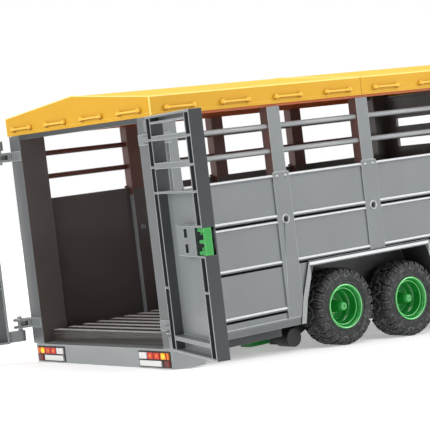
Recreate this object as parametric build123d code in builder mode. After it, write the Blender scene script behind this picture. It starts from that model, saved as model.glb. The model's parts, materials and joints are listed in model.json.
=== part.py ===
from build123d import *
import os
from math import asin, cos, degrees, radians, sin, tan

# Livestock trailer, a 1:16 moulded model, in millimetres.
# Every piece is built in the trailer's own frame: X forward from the rear portal's rear face,
# Y to the left, Z up from the rear bumper's lower edge. The body is lowered for loading, so the
# whole trailer is then stood on level ground, nose up, with the jack foot at the origin.

# ---- driving sizes ------------------------------------------------------------------------
BODY_LENGTH = 341.0
HALF_WIDTH = 78.0          # outer face of the side walls
WALL = 2.5
PORTAL_DEPTH = 19.0        # end frames, along X
PORTAL_POST = 12.5         # end frames, across Y
BODY_TOP = 148.8           # top of the end frames, below the roof's edge
FLOOR_BOTTOM = 14.0
FLOOR_TOP = 20.0
FLOOR_PLATE = 3.5
SILL = (11.1, 16.2)        # side sill, bottom and top
PANEL_TOP = 105.4
STANCE_PITCH = 3.7         # degrees, nose up, when the body is lowered

ROOF_OVERHANG = 2.0        # beyond the side walls
ROOF_EDGE = 149.0
ROOF_EAVES = 160.4
ROOF_RIDGE = 168.0
ROOF_SHELL = 1.6
ROOF_SHOULDER = 4.4        # ledge inside the shell that sits on the top rails
ROOF_SPLIT_GAP = 0.4
ROOF_SEAT = 153.0          # where the roof rests on the top rails
SEAT_GAP = 0.1

POST_WIDTH = 10.4
POST_DEPTH = 6.5
POST_PLATE_WIDTH = 13.5
POST_PLATE_TOP = 107.0
POST_HOLE_Z = 77.5
POST_HOLE_RADIUS = 2.0
POST_COUNT = 3
RAIL_HEIGHTS = (120.1, 135.5)
RAIL_RADIUS = 1.75
TOP_RAIL_BOTTOM = 147.5
BEAD_HEIGHTS = (104.4, 79.6, 75.8, 51.1, 22.4)
BEAD_RADIUS = 0.9
RIVET_HEIGHTS = (104.2, 49.1, 22.0)
RIVET_SPACING = 6.8
RIVET_RADIUS = 1.0

WHEEL_RADIUS = 25.0
TYRE_WIDTH = 19.5
TYRE_INSET = 0.9           # outer face of the tyres, inside the side walls
TYRE_DEPTH = 10.8          # rim to tread
HUB_RADIUS = 3.6
STUB_RADIUS = 2.5
RUNNING_FIT = 0.05         # radial clearance of shafts and pins
ARM_LENGTH = 37.0
ARM_THICKNESS = 2.7
ARM_CLEARANCE = 0.5        # swing arm to tyre
ARM_BOSS_RADIUS = 5.8
PIVOT_Z = 1.0
REAR_PIVOT_X = 105.0
PIVOT_SPACING = 57.3
SHAFT_RADIUS = 2.0

ARCH_REAR = 100.0
ARCH_FRONT = 226.0
ARCH_TOP = 47.3
ARCH_CLEARANCE = 5.1       # inner wall of the wheel well to the tyres
ARCH_WALL = 1.5
ARCH_LIP = 2.2
ARCH_PROUD = 1.5

HINGE_REACH = 6.0          # door pivots, out from the side walls
HINGE_ARM_HALF = 3.0
HINGE_ARM_INSET = 0.2      # from the leaf's rear face
HINGE_PIN_RADIUS = 1.5
DOOR_EDGE = 8.0            # from the pivot to the leaf
DOOR_THICKNESS = 7.6
DOOR_GAP = 1.0             # between the closed leaf and the portal
DOOR_BOTTOM = 13.7
DOOR_TOP = 148.6
DOOR_STILE = 8.5
DOOR_RIB = 1.3
DOOR_SKIN = 2.0
DOOR_MEETING_GAP = 0.4
RIGHT_DOOR_ANGLE = 161.5   # opened, in degrees from closed
LEFT_DOOR_ANGLE = 117.0
BRACKET_HEIGHTS = ((22.9, 29.1), (132.6, 138.8))
HINGE_ARM_HEIGHTS = ((14.2, 21.2), (140.4, 146.6))
LATCH_HEIGHTS = (70.4, 85.3)
LATCH_LENGTH = 11.0
LATCH_CLEARANCE = 0.2

RAIL_INSET = 29.0          # outer faces of the chassis rails, inside the side walls
RAIL_WIDTH = 6.0
CHASSIS_BOTTOM = 3.3
BUMPER_TOP = 12.0
BUMPER_REAR = -0.7
DRAWBAR_REACH = 84.0       # nose of the drawbar, ahead of the body
DRAWBAR_TOP = 12.0
EYE_REACH = 12.0           # centre of the tow eye, ahead of the nose
EYE_RADIUS = 7.5
EYE_BORE_RADIUS = 3.6
EYE_HEIGHTS = (5.2, 10.2)
JACK_REACH = 44.0          # ahead of the body
JACK_TUBE_RADIUS = 5.0
JACK_LEG_RADIUS = 3.5
JACK_TUBE_HEIGHTS = (-4.0, 42.0)
FOOT_RADIUS = 9.0
FOOT_THICKNESS = 2.5

# ---- values that follow ---------------------------------------------------------------------
FRONT_PORTAL_X = BODY_LENGTH - PORTAL_DEPTH
FLOOR_FRONT = BODY_LENGTH - 4.0
CHASSIS_FRONT = BODY_LENGTH - 6.0
DRAWBAR_NOSE = BODY_LENGTH + DRAWBAR_REACH
EYE_X = DRAWBAR_NOSE + EYE_REACH
JACK_X = BODY_LENGTH + JACK_REACH
JAMB = HALF_WIDTH - PORTAL_POST
ROOF_HALF_WIDTH = HALF_WIDTH + ROOF_OVERHANG
INNER_WALL = HALF_WIDTH - WALL
POST_INNER = HALF_WIDTH - POST_DEPTH
POST_PITCH = (FRONT_PORTAL_X - PORTAL_DEPTH) / (POST_COUNT + 1)
POSTS = [PORTAL_DEPTH + POST_PITCH * (i + 1) for i in range(POST_COUNT)]
RAIL_CENTRE = HALF_WIDTH - RAIL_RADIUS - 0.25
TYRE_OUTER_FACE = HALF_WIDTH - TYRE_INSET
TYRE_INNER_FACE = TYRE_OUTER_FACE - TYRE_WIDTH
RIM_RADIUS = WHEEL_RADIUS - TYRE_DEPTH
ARM_OUTER_FACE = TYRE_INNER_FACE - ARM_CLEARANCE
ARM_INNER_FACE = ARM_OUTER_FACE - ARM_THICKNESS
ARCH_INNER = TYRE_INNER_FACE - ARCH_CLEARANCE
RAIL_OUTER = HALF_WIDTH - RAIL_INSET
RAIL_INNER = RAIL_OUTER - RAIL_WIDTH
HINGE_Y = HALF_WIDTH + HINGE_REACH
LEAF_OUTER = HINGE_Y - DOOR_EDGE
LEAF_REAR = -DOOR_GAP - DOOR_THICKNESS
HINGE_X = LEAF_REAR + HINGE_ARM_INSET + HINGE_ARM_HALF
GROUND_DROP = tan(radians(STANCE_PITCH))
JACK_GROUND_Z = -(JACK_X - BUMPER_REAR) * GROUND_DROP
PIVOTS = (REAR_PIVOT_X, REAR_PIVOT_X + PIVOT_SPACING)
STANCE = Location((0, 0, 0), (0, -STANCE_PITCH, 0)) * Location((-JACK_X, 0, -JACK_GROUND_Z))


def arm_angle(pivot_x):
    """Angle of a swing arm above level, in the trailer frame, when its wheel is on the ground."""
    pitch = radians(STANCE_PITCH)
    height = PIVOT_Z * cos(pitch) + (pivot_x - BUMPER_REAR) * sin(pitch)
    return degrees(asin((WHEEL_RADIUS - height) / ARM_LENGTH)) - STANCE_PITCH


def wheel_centre(pivot_x):
    angle = radians(arm_angle(pivot_x))
    return pivot_x + ARM_LENGTH * cos(angle), PIVOT_Z + ARM_LENGTH * sin(angle)


def write(shape, name):
    """Stand a finished piece on the ground and write it as one named part."""
    placed = shape.moved(STANCE)
    placed.label = name
    export_step(placed, f"parts/{name}.step")


def write_pair(shape, name):
    """Write a piece built on the left, and its mirror image on the right."""
    write(shape, f"left_{name}")
    write(mirror(shape, about=Plane.XZ), f"right_{name}")


def span(low_x, high_x, low_y, high_y, low_z, high_z, mode=Mode.ADD):
    """Box between two corners, in the part being built."""
    centre = ((low_x + high_x) / 2, (low_y + high_y) / 2, (low_z + high_z) / 2)
    with Locations(centre):
        Box(high_x - low_x, high_y - low_y, high_z - low_z, mode=mode)


def block(*corners):
    """Separate rectangular bar between two corners."""
    with BuildPart() as single:
        span(*corners)
    return single.part


def rod(start_x, end_x, y, z, radius, mode=Mode.ADD):
    """Round bar along X, in the part being built."""
    with Locations(Location(((start_x + end_x) / 2, y, z), (0, 90, 0))):
        Cylinder(radius, end_x - start_x, mode=mode)


def cross_pin(x, z, low_y, high_y, radius, mode=Mode.ADD):
    """Round bar along Y, in the part being built."""
    with Locations(Location((x, (low_y + high_y) / 2, z), (90, 0, 0))):
        Cylinder(radius, high_y - low_y, mode=mode)


def upright(x, y, low_z, high_z, radius, mode=Mode.ADD):
    """Round bar along Z, in the part being built."""
    with Locations((x, y, (low_z + high_z) / 2)):
        Cylinder(radius, high_z - low_z, mode=mode)


ARCH_KNEE = (3.0, 25.0)    # where the arch's ends turn, in from its foot and above the datum
ARCH_SHOULDER = 11.0       # where the arch's ends meet its top, in from its foot


def arch(low_y, high_y, margin, mode=Mode.ADD):
    """Wheel-arch opening with its outline moved out by a margin, between two Y planes."""
    knee, knee_z = ARCH_KNEE
    with BuildSketch(Plane.XZ.offset(-high_y)) as outline:
        Polygon(
            (ARCH_REAR, 0), (ARCH_REAR, SILL[0]), (ARCH_REAR + knee, knee_z),
            (ARCH_REAR + ARCH_SHOULDER, ARCH_TOP), (ARCH_FRONT - ARCH_SHOULDER, ARCH_TOP),
            (ARCH_FRONT - knee, knee_z), (ARCH_FRONT, SILL[0]), (ARCH_FRONT, 0), align=None,
        )
        if margin:
            offset(amount=margin, kind=Kind.INTERSECTION)
    extrude(outline.sketch, amount=high_y - low_y, mode=mode)


os.makedirs("parts", exist_ok=True)

# ---- floor and chassis ------------------------------------------------------------------------
SLAT_WIDTH = 5.0
SLAT_PITCH = 11.3
SLAT_END_GAP = 0.5
FLOOR_REAR = 8.0
FLOOR_LEDGE = 2.0          # strip that stands down behind the bumper

plate_top = FLOOR_BOTTOM + FLOOR_PLATE
plate_depth = (FLOOR_BOTTOM, plate_top)
floor_boards = [
    block(FLOOR_REAR, FLOOR_REAR + FLOOR_LEDGE, -JAMB, JAMB, BUMPER_TOP, FLOOR_BOTTOM),
    block(FLOOR_REAR, PORTAL_DEPTH, -JAMB, JAMB, *plate_depth),
    block(PORTAL_DEPTH, ARCH_REAR, -INNER_WALL, INNER_WALL, *plate_depth),
    block(ARCH_REAR, ARCH_FRONT, -ARCH_INNER, ARCH_INNER, *plate_depth),
    block(ARCH_FRONT, FRONT_PORTAL_X, -INNER_WALL, INNER_WALL, *plate_depth),
    block(FRONT_PORTAL_X, FLOOR_FRONT, -JAMB, JAMB, *plate_depth),
]
slat_x = FLOOR_REAR
while slat_x + SLAT_WIDTH < FLOOR_FRONT:
    beside_well = ARCH_REAR - SLAT_WIDTH - 1 < slat_x < ARCH_FRONT + 1
    half = (ARCH_INNER if beside_well else JAMB) - SLAT_END_GAP
    floor_boards.append(block(slat_x, slat_x + SLAT_WIDTH, -half, half, plate_top, FLOOR_TOP))
    slat_x += SLAT_PITCH
write(Compound(floor_boards), "floor")

SKIRT_OUTER = RAIL_OUTER + 11.0
SKIRT_WIDTH = 3.0
SKIRT_GAP = 3.0            # to the wheel wells
HANGER_LENGTH = 10.0
HANGER_BOTTOM = -3.0
CROSSMEMBER_X = (30.0, 75.0, 190.0, 240.0, 290.0)
CROSSMEMBER_LENGTH = 5.0
CROSSMEMBER_HEIGHTS = (5.5, 12.0)

rail_start = FLOOR_REAR + FLOOR_LEDGE
skirt_inner = SKIRT_OUTER - SKIRT_WIDTH
depth = (CHASSIS_BOTTOM, FLOOR_BOTTOM)
chassis_bars = []
for side in (-1, 1):
    rail = sorted((side * RAIL_INNER, side * RAIL_OUTER))
    skirt = sorted((side * skirt_inner, side * SKIRT_OUTER))
    chassis_bars.append(block(rail_start, CHASSIS_FRONT, *rail, *depth))
    chassis_bars.append(block(rail_start, ARCH_REAR - SKIRT_GAP, *skirt, *depth))
    chassis_bars.append(block(ARCH_FRONT + SKIRT_GAP, CHASSIS_FRONT, *skirt, *depth))
    for x in CROSSMEMBER_X:
        if x + CROSSMEMBER_LENGTH < ARCH_REAR - SKIRT_GAP or x > ARCH_FRONT + SKIRT_GAP:
            outrigger = sorted((side * RAIL_OUTER, side * skirt_inner))
            chassis_bars.append(block(x, x + CROSSMEMBER_LENGTH, *outrigger, *CROSSMEMBER_HEIGHTS))
for x in CROSSMEMBER_X:
    chassis_bars.append(block(x, x + CROSSMEMBER_LENGTH, -RAIL_INNER, RAIL_INNER, *CROSSMEMBER_HEIGHTS))
write(Compound(chassis_bars), "chassis_frame")

with BuildPart() as pivot_hangers:
    for pivot_x in PIVOTS:
        for side in (-1, 1):
            low, high = sorted((side * RAIL_INNER, side * RAIL_OUTER))
            half = HANGER_LENGTH / 2
            span(pivot_x - half, pivot_x + half, low, high, HANGER_BOTTOM, CHASSIS_BOTTOM)
            cross_pin(pivot_x, PIVOT_Z, low, high, SHAFT_RADIUS + RUNNING_FIT, mode=Mode.SUBTRACT)
write(pivot_hangers.part, "pivot_hangers")

# ---- rear bumper and lamps ----------------------------------------------------------------------
BUMPER_HALF = HALF_WIDTH - 4.0
BUMPER_CORNER = HALF_WIDTH + 2.5
BUMPER_CHAMFER_X = 6.0
LAMP_WIDTH = 32.0
LAMP_OUTER = BUMPER_HALF - 1.5
LAMP_INNER = LAMP_OUTER - LAMP_WIDTH
LAMP_HEIGHTS = (0.8, 10.6)
LAMP_DEPTH = 1.2

with BuildPart() as rear_bumper:
    with BuildSketch():
        with BuildLine():
            Polyline(
                (BUMPER_REAR, -BUMPER_HALF), (BUMPER_CHAMFER_X, -BUMPER_CORNER),
                (PORTAL_DEPTH, -BUMPER_CORNER), (PORTAL_DEPTH, -JAMB), (FLOOR_REAR, -JAMB),
                (FLOOR_REAR, JAMB), (PORTAL_DEPTH, JAMB), (PORTAL_DEPTH, BUMPER_CORNER),
                (BUMPER_CHAMFER_X, BUMPER_CORNER), (BUMPER_REAR, BUMPER_HALF), close=True,
            )
        make_face()
    extrude(amount=BUMPER_TOP)
    for low, high in ((-LAMP_OUTER, -LAMP_INNER), (LAMP_INNER, LAMP_OUTER)):
        span(BUMPER_REAR, BUMPER_REAR + LAMP_DEPTH, low, high, *LAMP_HEIGHTS, mode=Mode.SUBTRACT)
write(rear_bumper.part, "rear_bumper")

LAMP_PROUD = 0.3
LENS_THICKNESS = 0.7
LENS_ROW = (5.9, 9.8)      # upper row of lenses
LOWER_ROW = (1.5, 5.1)     # plate and reflector row
LENS_FACE = BUMPER_REAR - LAMP_PROUD

with BuildPart() as lamp_panels:
    for low, high in ((-LAMP_OUTER, -LAMP_INNER), (LAMP_INNER, LAMP_OUTER)):
        span(LENS_FACE, BUMPER_REAR + LAMP_DEPTH, low, high, *LAMP_HEIGHTS)
write(lamp_panels.part, "lamp_panels")

# Each lens is its row and its start and end, measured inwards from the lamp's outer end.
LENS_SETS = {
    "indicator_lenses": ((LENS_ROW, 1.0, 2.8), (LENS_ROW, 3.8, 9.2)),
    "tail_lenses": ((LENS_ROW, 10.2, 15.6), (LENS_ROW, 16.6, 22.0), (LOWER_ROW, 1.2, 6.0)),
    "reversing_lenses": ((LENS_ROW, 23.0, 30.6),),
    "number_plates": ((LOWER_ROW, 8.4, 30.6),),
}
for name, places in LENS_SETS.items():
    with BuildPart() as lenses:
        for row, start, end in places:
            for side in (-1, 1):
                low, high = sorted((side * (LAMP_OUTER - start), side * (LAMP_OUTER - end)))
                span(LENS_FACE - LENS_THICKNESS, LENS_FACE, low, high, *row)
    write(lenses.part, name)

# ---- end frames -----------------------------------------------------------------------------------
HEADER_BOTTOM = 146.0
HEADER_DEPTH = 8.0
CAP_INSET = 2.3            # the post tops stand inside the roof's end wall
GROOVE = (5.5, 12.0)       # shallow groove down the outer face of each post
GROOVE_HEIGHTS = (32.0, 133.0)
GROOVE_DEPTH = 1.0


def portal():
    """End frame of two posts and a header, standing at the rear with its outer face at X = 0."""
    with BuildPart() as frame:
        for side in (-1, 1):
            low, high = sorted((side * JAMB, side * HALF_WIDTH))
            span(0, PORTAL_DEPTH, low, high, BUMPER_TOP, BODY_TOP)
            span(CAP_INSET, PORTAL_DEPTH, low, high, BODY_TOP, ROOF_SEAT - SEAT_GAP)
            face_y = side * HALF_WIDTH
            groove = sorted((face_y, face_y - side * GROOVE_DEPTH))
            span(*GROOVE, *groove, *GROOVE_HEIGHTS, mode=Mode.SUBTRACT)
            radius = (GROOVE[1] - GROOVE[0]) / 2
            cross_pin(sum(GROOVE) / 2, GROOVE_HEIGHTS[1], *groove, radius, mode=Mode.SUBTRACT)
        span(0, HEADER_DEPTH, -JAMB, JAMB, HEADER_BOTTOM, BODY_TOP)
    return frame.part


write(portal(), "rear_portal")
write(mirror(portal(), about=Plane.YZ).moved(Location((BODY_LENGTH, 0, 0))), "front_portal")

FRONT_WALL_X = BODY_LENGTH - 7.0
VENT_HALF = 22.0
VENT_BELOW_RAIL = (10.0, 4.0)

with BuildPart() as front_wall:
    span(FRONT_WALL_X, FRONT_WALL_X + WALL, -JAMB, JAMB, FLOOR_TOP, HEADER_BOTTOM)
    for z in BEAD_HEIGHTS:
        cross_pin(FRONT_WALL_X + WALL, z, -JAMB, JAMB, BEAD_RADIUS)
    for z in RAIL_HEIGHTS:
        for y in (-JAMB / 2, JAMB / 2):
            span(FRONT_WALL_X, FRONT_WALL_X + WALL, y - VENT_HALF, y + VENT_HALF, z - VENT_BELOW_RAIL[0],
                 z - VENT_BELOW_RAIL[1], mode=Mode.SUBTRACT)
write(front_wall.part, "front_wall")

# ---- side walls ------------------------------------------------------------------------------------
PLATE_PROUD = 1.0
SILL_PROUD = 0.6
TOP_RAIL_DEPTH = 5.0
RIVET_PROUD = 0.5

with BuildPart() as side_panel:
    span(PORTAL_DEPTH, FRONT_PORTAL_X, INNER_WALL, HALF_WIDTH, SILL[1], PANEL_TOP)
    span(PORTAL_DEPTH, FRONT_PORTAL_X, INNER_WALL, HALF_WIDTH + SILL_PROUD, *SILL)
    for z in BEAD_HEIGHTS:
        rod(PORTAL_DEPTH, FRONT_PORTAL_X, HALF_WIDTH, z, BEAD_RADIUS)
    for x in POSTS:
        half = POST_PLATE_WIDTH / 2
        span(x - half, x + half, HALF_WIDTH, HALF_WIDTH + 2, SILL[1], POST_PLATE_TOP, mode=Mode.SUBTRACT)
        cross_pin(x, POST_HOLE_Z, INNER_WALL, HALF_WIDTH, POST_HOLE_RADIUS, mode=Mode.SUBTRACT)
    arch(INNER_WALL - 1, HALF_WIDTH, 0, mode=Mode.SUBTRACT)
    arch(HALF_WIDTH, HALF_WIDTH + 2, ARCH_LIP, mode=Mode.SUBTRACT)
write_pair(side_panel.part, "side_panel")

with BuildPart() as side_posts:
    for x in POSTS:
        half = POST_WIDTH / 2
        plate_half = POST_PLATE_WIDTH / 2
        span(x - half, x + half, POST_INNER, HALF_WIDTH + SILL_PROUD, PANEL_TOP, TOP_RAIL_BOTTOM)
        span(x - half, x + half, POST_INNER, INNER_WALL, FLOOR_BOTTOM + FLOOR_PLATE, PANEL_TOP)
        span(x - plate_half, x + plate_half, HALF_WIDTH, HALF_WIDTH + PLATE_PROUD, SILL[1], POST_PLATE_TOP)
        cross_pin(x, POST_HOLE_Z, POST_INNER, HALF_WIDTH + 2, POST_HOLE_RADIUS, mode=Mode.SUBTRACT)
    arch(POST_INNER - 1, HALF_WIDTH + 2, ARCH_LIP, mode=Mode.SUBTRACT)
write_pair(side_posts.part, "side_posts")

with BuildPart() as window_rails:
    edges = [PORTAL_DEPTH] + [x + s * POST_WIDTH / 2 for x in POSTS for s in (-1, 1)] + [FRONT_PORTAL_X]
    for start, end in zip(edges[::2], edges[1::2]):
        for z in RAIL_HEIGHTS:
            rod(start, end, RAIL_CENTRE, z, RAIL_RADIUS)
write_pair(window_rails.part, "window_rails")

with BuildPart() as top_rail:
    span(PORTAL_DEPTH, FRONT_PORTAL_X, HALF_WIDTH - TOP_RAIL_DEPTH, HALF_WIDTH, TOP_RAIL_BOTTOM,
         ROOF_SEAT - SEAT_GAP)
write_pair(top_rail.part, "top_rail")

with BuildPart() as side_rivets:
    for side in (-1, 1):
        for x in POSTS:
            for z in RIVET_HEIGHTS:
                if z < ARCH_TOP + ARCH_LIP + 2 and ARCH_REAR - 9 < x < ARCH_FRONT:
                    continue
                for dx in (-RIVET_SPACING / 2, RIVET_SPACING / 2):
                    face = HALF_WIDTH + PLATE_PROUD
                    low, high = sorted((side * face, side * (face + RIVET_PROUD)))
                    cross_pin(x + dx, z, low, high, RIVET_RADIUS)
write(side_rivets.part, "side_rivets")

with BuildPart() as wheel_arch:
    arch(ARCH_INNER, HALF_WIDTH, 0)
    arch(HALF_WIDTH, HALF_WIDTH + ARCH_PROUD, ARCH_LIP)
    arch(ARCH_INNER + ARCH_WALL, HALF_WIDTH + 3, -ARCH_WALL, mode=Mode.SUBTRACT)
    span(ARCH_REAR - 10, ARCH_FRONT + 10, 0, HALF_WIDTH + 4, -5, SILL[0], mode=Mode.SUBTRACT)
write_pair(wheel_arch.part, "wheel_arch")

# ---- roof ------------------------------------------------------------------------------------------
BAR_Z = 153.0
BAR_LENGTH = 20.0
BAR_RADIUS = 0.75
BAR_STANDOFF = 0.95        # centre line of the bars, out from the roof's faces
BAR_BOSS = 1.6
BAR_COUNT = 4
ROOF_HALF_LENGTH = BODY_LENGTH / 2


def roof_section(inset, edge, seat):
    """Gable section of the roof as a closed outline in the YZ plane."""
    half = ROOF_HALF_WIDTH - inset
    eaves = ROOF_EAVES - inset * 0.9
    if seat:
        shoulder = half - ROOF_SHOULDER
        points = [(half, edge), (half, ROOF_SEAT), (shoulder, ROOF_SEAT), (shoulder, eaves)]
    else:
        points = [(half, edge), (half, eaves)]
    return points + [(0, ROOF_RIDGE - inset)] + [(-y, z) for y, z in reversed(points)]


def roof_half(start, end, wall_start, wall_end):
    """Roof shell between two X planes, with an end wall where asked."""
    with BuildPart() as shell:
        with BuildSketch(Plane.YZ.offset(start)):
            Polygon(*roof_section(0, ROOF_EDGE, False), align=None)
        extrude(amount=end - start)
        hollow_start = start + ROOF_SHELL if wall_start else start
        hollow_end = end - ROOF_SHELL if wall_end else end
        with BuildSketch(Plane.YZ.offset(hollow_start)):
            Polygon(*roof_section(ROOF_SHELL, ROOF_EDGE - 1, True), align=None)
        extrude(amount=hollow_end - hollow_start, mode=Mode.SUBTRACT)
    return shell.part


def side_bars(start, end):
    """Lashing bars along both eaves of one roof half."""
    pitch = (end - start) / BAR_COUNT
    for side in (-1, 1):
        for i in range(BAR_COUNT):
            middle = start + pitch * (i + 0.5)
            y = side * (ROOF_HALF_WIDTH + BAR_STANDOFF)
            rod(middle - BAR_LENGTH / 2, middle + BAR_LENGTH / 2, y, BAR_Z, BAR_RADIUS)
            low, high = sorted((side * ROOF_HALF_WIDTH, side * (ROOF_HALF_WIDTH + 2 * BAR_STANDOFF)))
            for x in (middle - BAR_LENGTH / 2, middle + BAR_LENGTH / 2):
                cross_pin(x, BAR_Z, low, high, BAR_BOSS)


def end_bars(face_x, outward):
    """Lashing bars across one end face of the roof."""
    pitch = 2 * ROOF_HALF_WIDTH / BAR_COUNT
    for i in range(BAR_COUNT):
        middle = -ROOF_HALF_WIDTH + pitch * (i + 0.5)
        cross_pin(face_x + outward * BAR_STANDOFF, BAR_Z, middle - BAR_LENGTH / 2, middle + BAR_LENGTH / 2,
                  BAR_RADIUS)
        low, high = sorted((face_x, face_x + outward * 2 * BAR_STANDOFF))
        for y in (middle - BAR_LENGTH / 2, middle + BAR_LENGTH / 2):
            rod(low, high, y, BAR_Z, BAR_BOSS)


write(roof_half(0, ROOF_HALF_LENGTH - ROOF_SPLIT_GAP / 2, True, False), "rear_roof")
write(roof_half(ROOF_HALF_LENGTH + ROOF_SPLIT_GAP / 2, BODY_LENGTH, False, True), "front_roof")
with BuildPart() as rear_lashing_bars:
    side_bars(0, ROOF_HALF_LENGTH)
    end_bars(0, -1)
write(rear_lashing_bars.part, "rear_lashing_bars")
with BuildPart() as front_lashing_bars:
    side_bars(ROOF_HALF_LENGTH, BODY_LENGTH)
    end_bars(BODY_LENGTH, 1)
write(front_lashing_bars.part, "front_lashing_bars")

# ---- hinge brackets ---------------------------------------------------------------------------------
BRACKET_BOSS = 2.7         # wall round the hinge pin
BRACKET_PLATE = 1.4
BRACKET_FLANGE = (0.7, 0.5)    # thickness behind the post, and inset from its edges
BRACKET_LENGTH = 13.0      # along the body's side

with BuildPart() as hinge_brackets:
    for low, high in BRACKET_HEIGHTS:
        with BuildSketch(Plane.XY.offset(low)):
            thick, inset = BRACKET_FLANGE
            side_face = HALF_WIDTH + BRACKET_PLATE
            Polygon(
                (0, JAMB + inset), (-thick, JAMB + inset), (-thick, HALF_WIDTH - inset),
                (HINGE_X - 2.8, HINGE_Y - 3.1), (HINGE_X + 3.8, HINGE_Y + 1.8), (BRACKET_PLATE, HALF_WIDTH + 4),
                (BRACKET_PLATE, side_face), (BRACKET_LENGTH, side_face), (BRACKET_LENGTH, HALF_WIDTH),
                (0, HALF_WIDTH), align=None,
            )
            with Locations((HINGE_X, HINGE_Y)):
                Circle(HINGE_PIN_RADIUS + BRACKET_BOSS)
        extrude(amount=high - low)
        span(HINGE_X - 6.6, -2.4, HALF_WIDTH - 1, HINGE_Y + 6, low + BRACKET_PLATE, high - BRACKET_PLATE,
             mode=Mode.SUBTRACT)
        upright(HINGE_X, HINGE_Y, low, high, HINGE_PIN_RADIUS + RUNNING_FIT, mode=Mode.SUBTRACT)
write_pair(hinge_brackets.part, "hinge_brackets")


# ---- rear doors ------------------------------------------------------------------------------------
def swung(shape, angle):
    """Left door piece, built closed, turned open about its pivot."""
    return shape.rotate(Axis((HINGE_X, HINGE_Y, 0), (0, 0, 1)), -angle)


DOOR_RAILS = ((118.2, 121.6), (134.2, 137.0))
DOOR_TOP_BOX = 143.8
DOOR_BOTTOM_BOX = 21.7
WEB_HEIGHTS = (51.0, PANEL_TOP, 120.0, 135.6)
LATCH_PLATE_LENGTH = 45.0
LATCH_POCKET = LATCH_LENGTH + 1.4
KEEPER_POCKET = 5.5
LATCH_SLOT = 5.0
LATCH_SLOT_PLACE = 28.0
LATCH_SLOT_INSET = 3.2
POCKET_FLOOR = 1.0
PIN_PROUD = 1.5
LEAF_FRONT = -DOOR_GAP
PANEL_FACE = LEAF_REAR + DOOR_SKIN


def door_leaf(pocket, with_plate):
    """Closed left leaf: a skin with a ribbed frame on its inner side and three openings."""
    free, hinge = DOOR_MEETING_GAP, LEAF_OUTER
    window = (free + DOOR_STILE, hinge - DOOR_STILE)
    with BuildPart() as leaf:
        span(LEAF_REAR, LEAF_FRONT, free, hinge, DOOR_BOTTOM, DOOR_TOP)
        # the solid lower panel stands back from the frame
        span(PANEL_FACE, LEAF_FRONT, *window, DOOR_BOTTOM_BOX + DOOR_RIB, PANEL_TOP - DOOR_RIB,
             mode=Mode.SUBTRACT)
        openings = (PANEL_TOP,) + tuple(z for rail in DOOR_RAILS for z in rail) + (DOOR_TOP_BOX,)
        for low, high in zip(openings[::2], openings[1::2]):
            span(LEAF_REAR, LEAF_FRONT, *window, low, high, mode=Mode.SUBTRACT)
        # channels between the double ribs of both stiles, closed by webs
        for stile in (free, hinge - DOOR_STILE):
            bottom = DOOR_BOTTOM + DOOR_RIB
            for web in WEB_HEIGHTS + (DOOR_TOP,):
                span(PANEL_FACE, LEAF_FRONT, stile + DOOR_RIB, stile + DOOR_STILE - DOOR_RIB, bottom,
                     web - DOOR_RIB, mode=Mode.SUBTRACT)
                bottom = web
        # open boxes at the top and bottom of the frame
        span(PANEL_FACE, LEAF_FRONT, *window, DOOR_TOP_BOX + DOOR_RIB, DOOR_TOP - DOOR_RIB,
             mode=Mode.SUBTRACT)
        span(PANEL_FACE, LEAF_FRONT, *window, DOOR_BOTTOM + DOOR_RIB, DOOR_BOTTOM_BOX - DOOR_RIB,
             mode=Mode.SUBTRACT)
        low, high = LATCH_HEIGHTS
        span(PANEL_FACE, LEAF_FRONT, free, free + pocket + DOOR_RIB, low - DOOR_RIB, high + DOOR_RIB)
        span(LEAF_REAR + POCKET_FLOOR, LEAF_FRONT, free, free + pocket, low - LATCH_CLEARANCE,
             high + LATCH_CLEARANCE, mode=Mode.SUBTRACT)
        if with_plate:
            start = free + pocket + DOOR_RIB
            span(PANEL_FACE, LEAF_FRONT - 0.8, start, free + LATCH_PLATE_LENGTH, low - 1, high + 1)
            slot = free + LATCH_SLOT_PLACE
            for z in (low + LATCH_SLOT_INSET, high - LATCH_SLOT_INSET):
                span(PANEL_FACE, LEAF_FRONT, slot, slot + LATCH_SLOT, z - LATCH_SLOT / 2, z + LATCH_SLOT / 2,
                     mode=Mode.SUBTRACT)
    return leaf.part


left_leaf = swung(door_leaf(KEEPER_POCKET, False), LEFT_DOOR_ANGLE)
right_leaf = swung(door_leaf(LATCH_POCKET, True), RIGHT_DOOR_ANGLE)
write(left_leaf, "left_door_leaf")
write(mirror(right_leaf, about=Plane.XZ), "right_door_leaf")

with BuildPart() as hinge_arms:
    for low, high in HINGE_ARM_HEIGHTS:
        span(HINGE_X - HINGE_ARM_HALF, HINGE_X + HINGE_ARM_HALF, LEAF_OUTER, HINGE_Y, low, high)
        upright(HINGE_X, HINGE_Y, low, high, HINGE_ARM_HALF)
        upright(HINGE_X, HINGE_Y, low, high, HINGE_PIN_RADIUS, mode=Mode.SUBTRACT)
with BuildPart() as hinge_pins:
    lower_arm, upper_arm = HINGE_ARM_HEIGHTS
    lower_bracket, upper_bracket = BRACKET_HEIGHTS
    upright(HINGE_X, HINGE_Y, lower_arm[0], lower_bracket[1] + PIN_PROUD, HINGE_PIN_RADIUS)
    upright(HINGE_X, HINGE_Y, upper_bracket[0] - PIN_PROUD, upper_arm[1], HINGE_PIN_RADIUS)
for piece, name in ((hinge_arms.part, "door_hinge_arms"), (hinge_pins.part, "door_hinge_pins")):
    write(swung(piece, LEFT_DOOR_ANGLE), f"left_{name}")
    write(mirror(swung(piece, RIGHT_DOOR_ANGLE), about=Plane.XZ), f"right_{name}")

LATCH_GRIP = 3.0
LATCH_BACK = 1.5
LATCH_FINGER = 2.0

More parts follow.
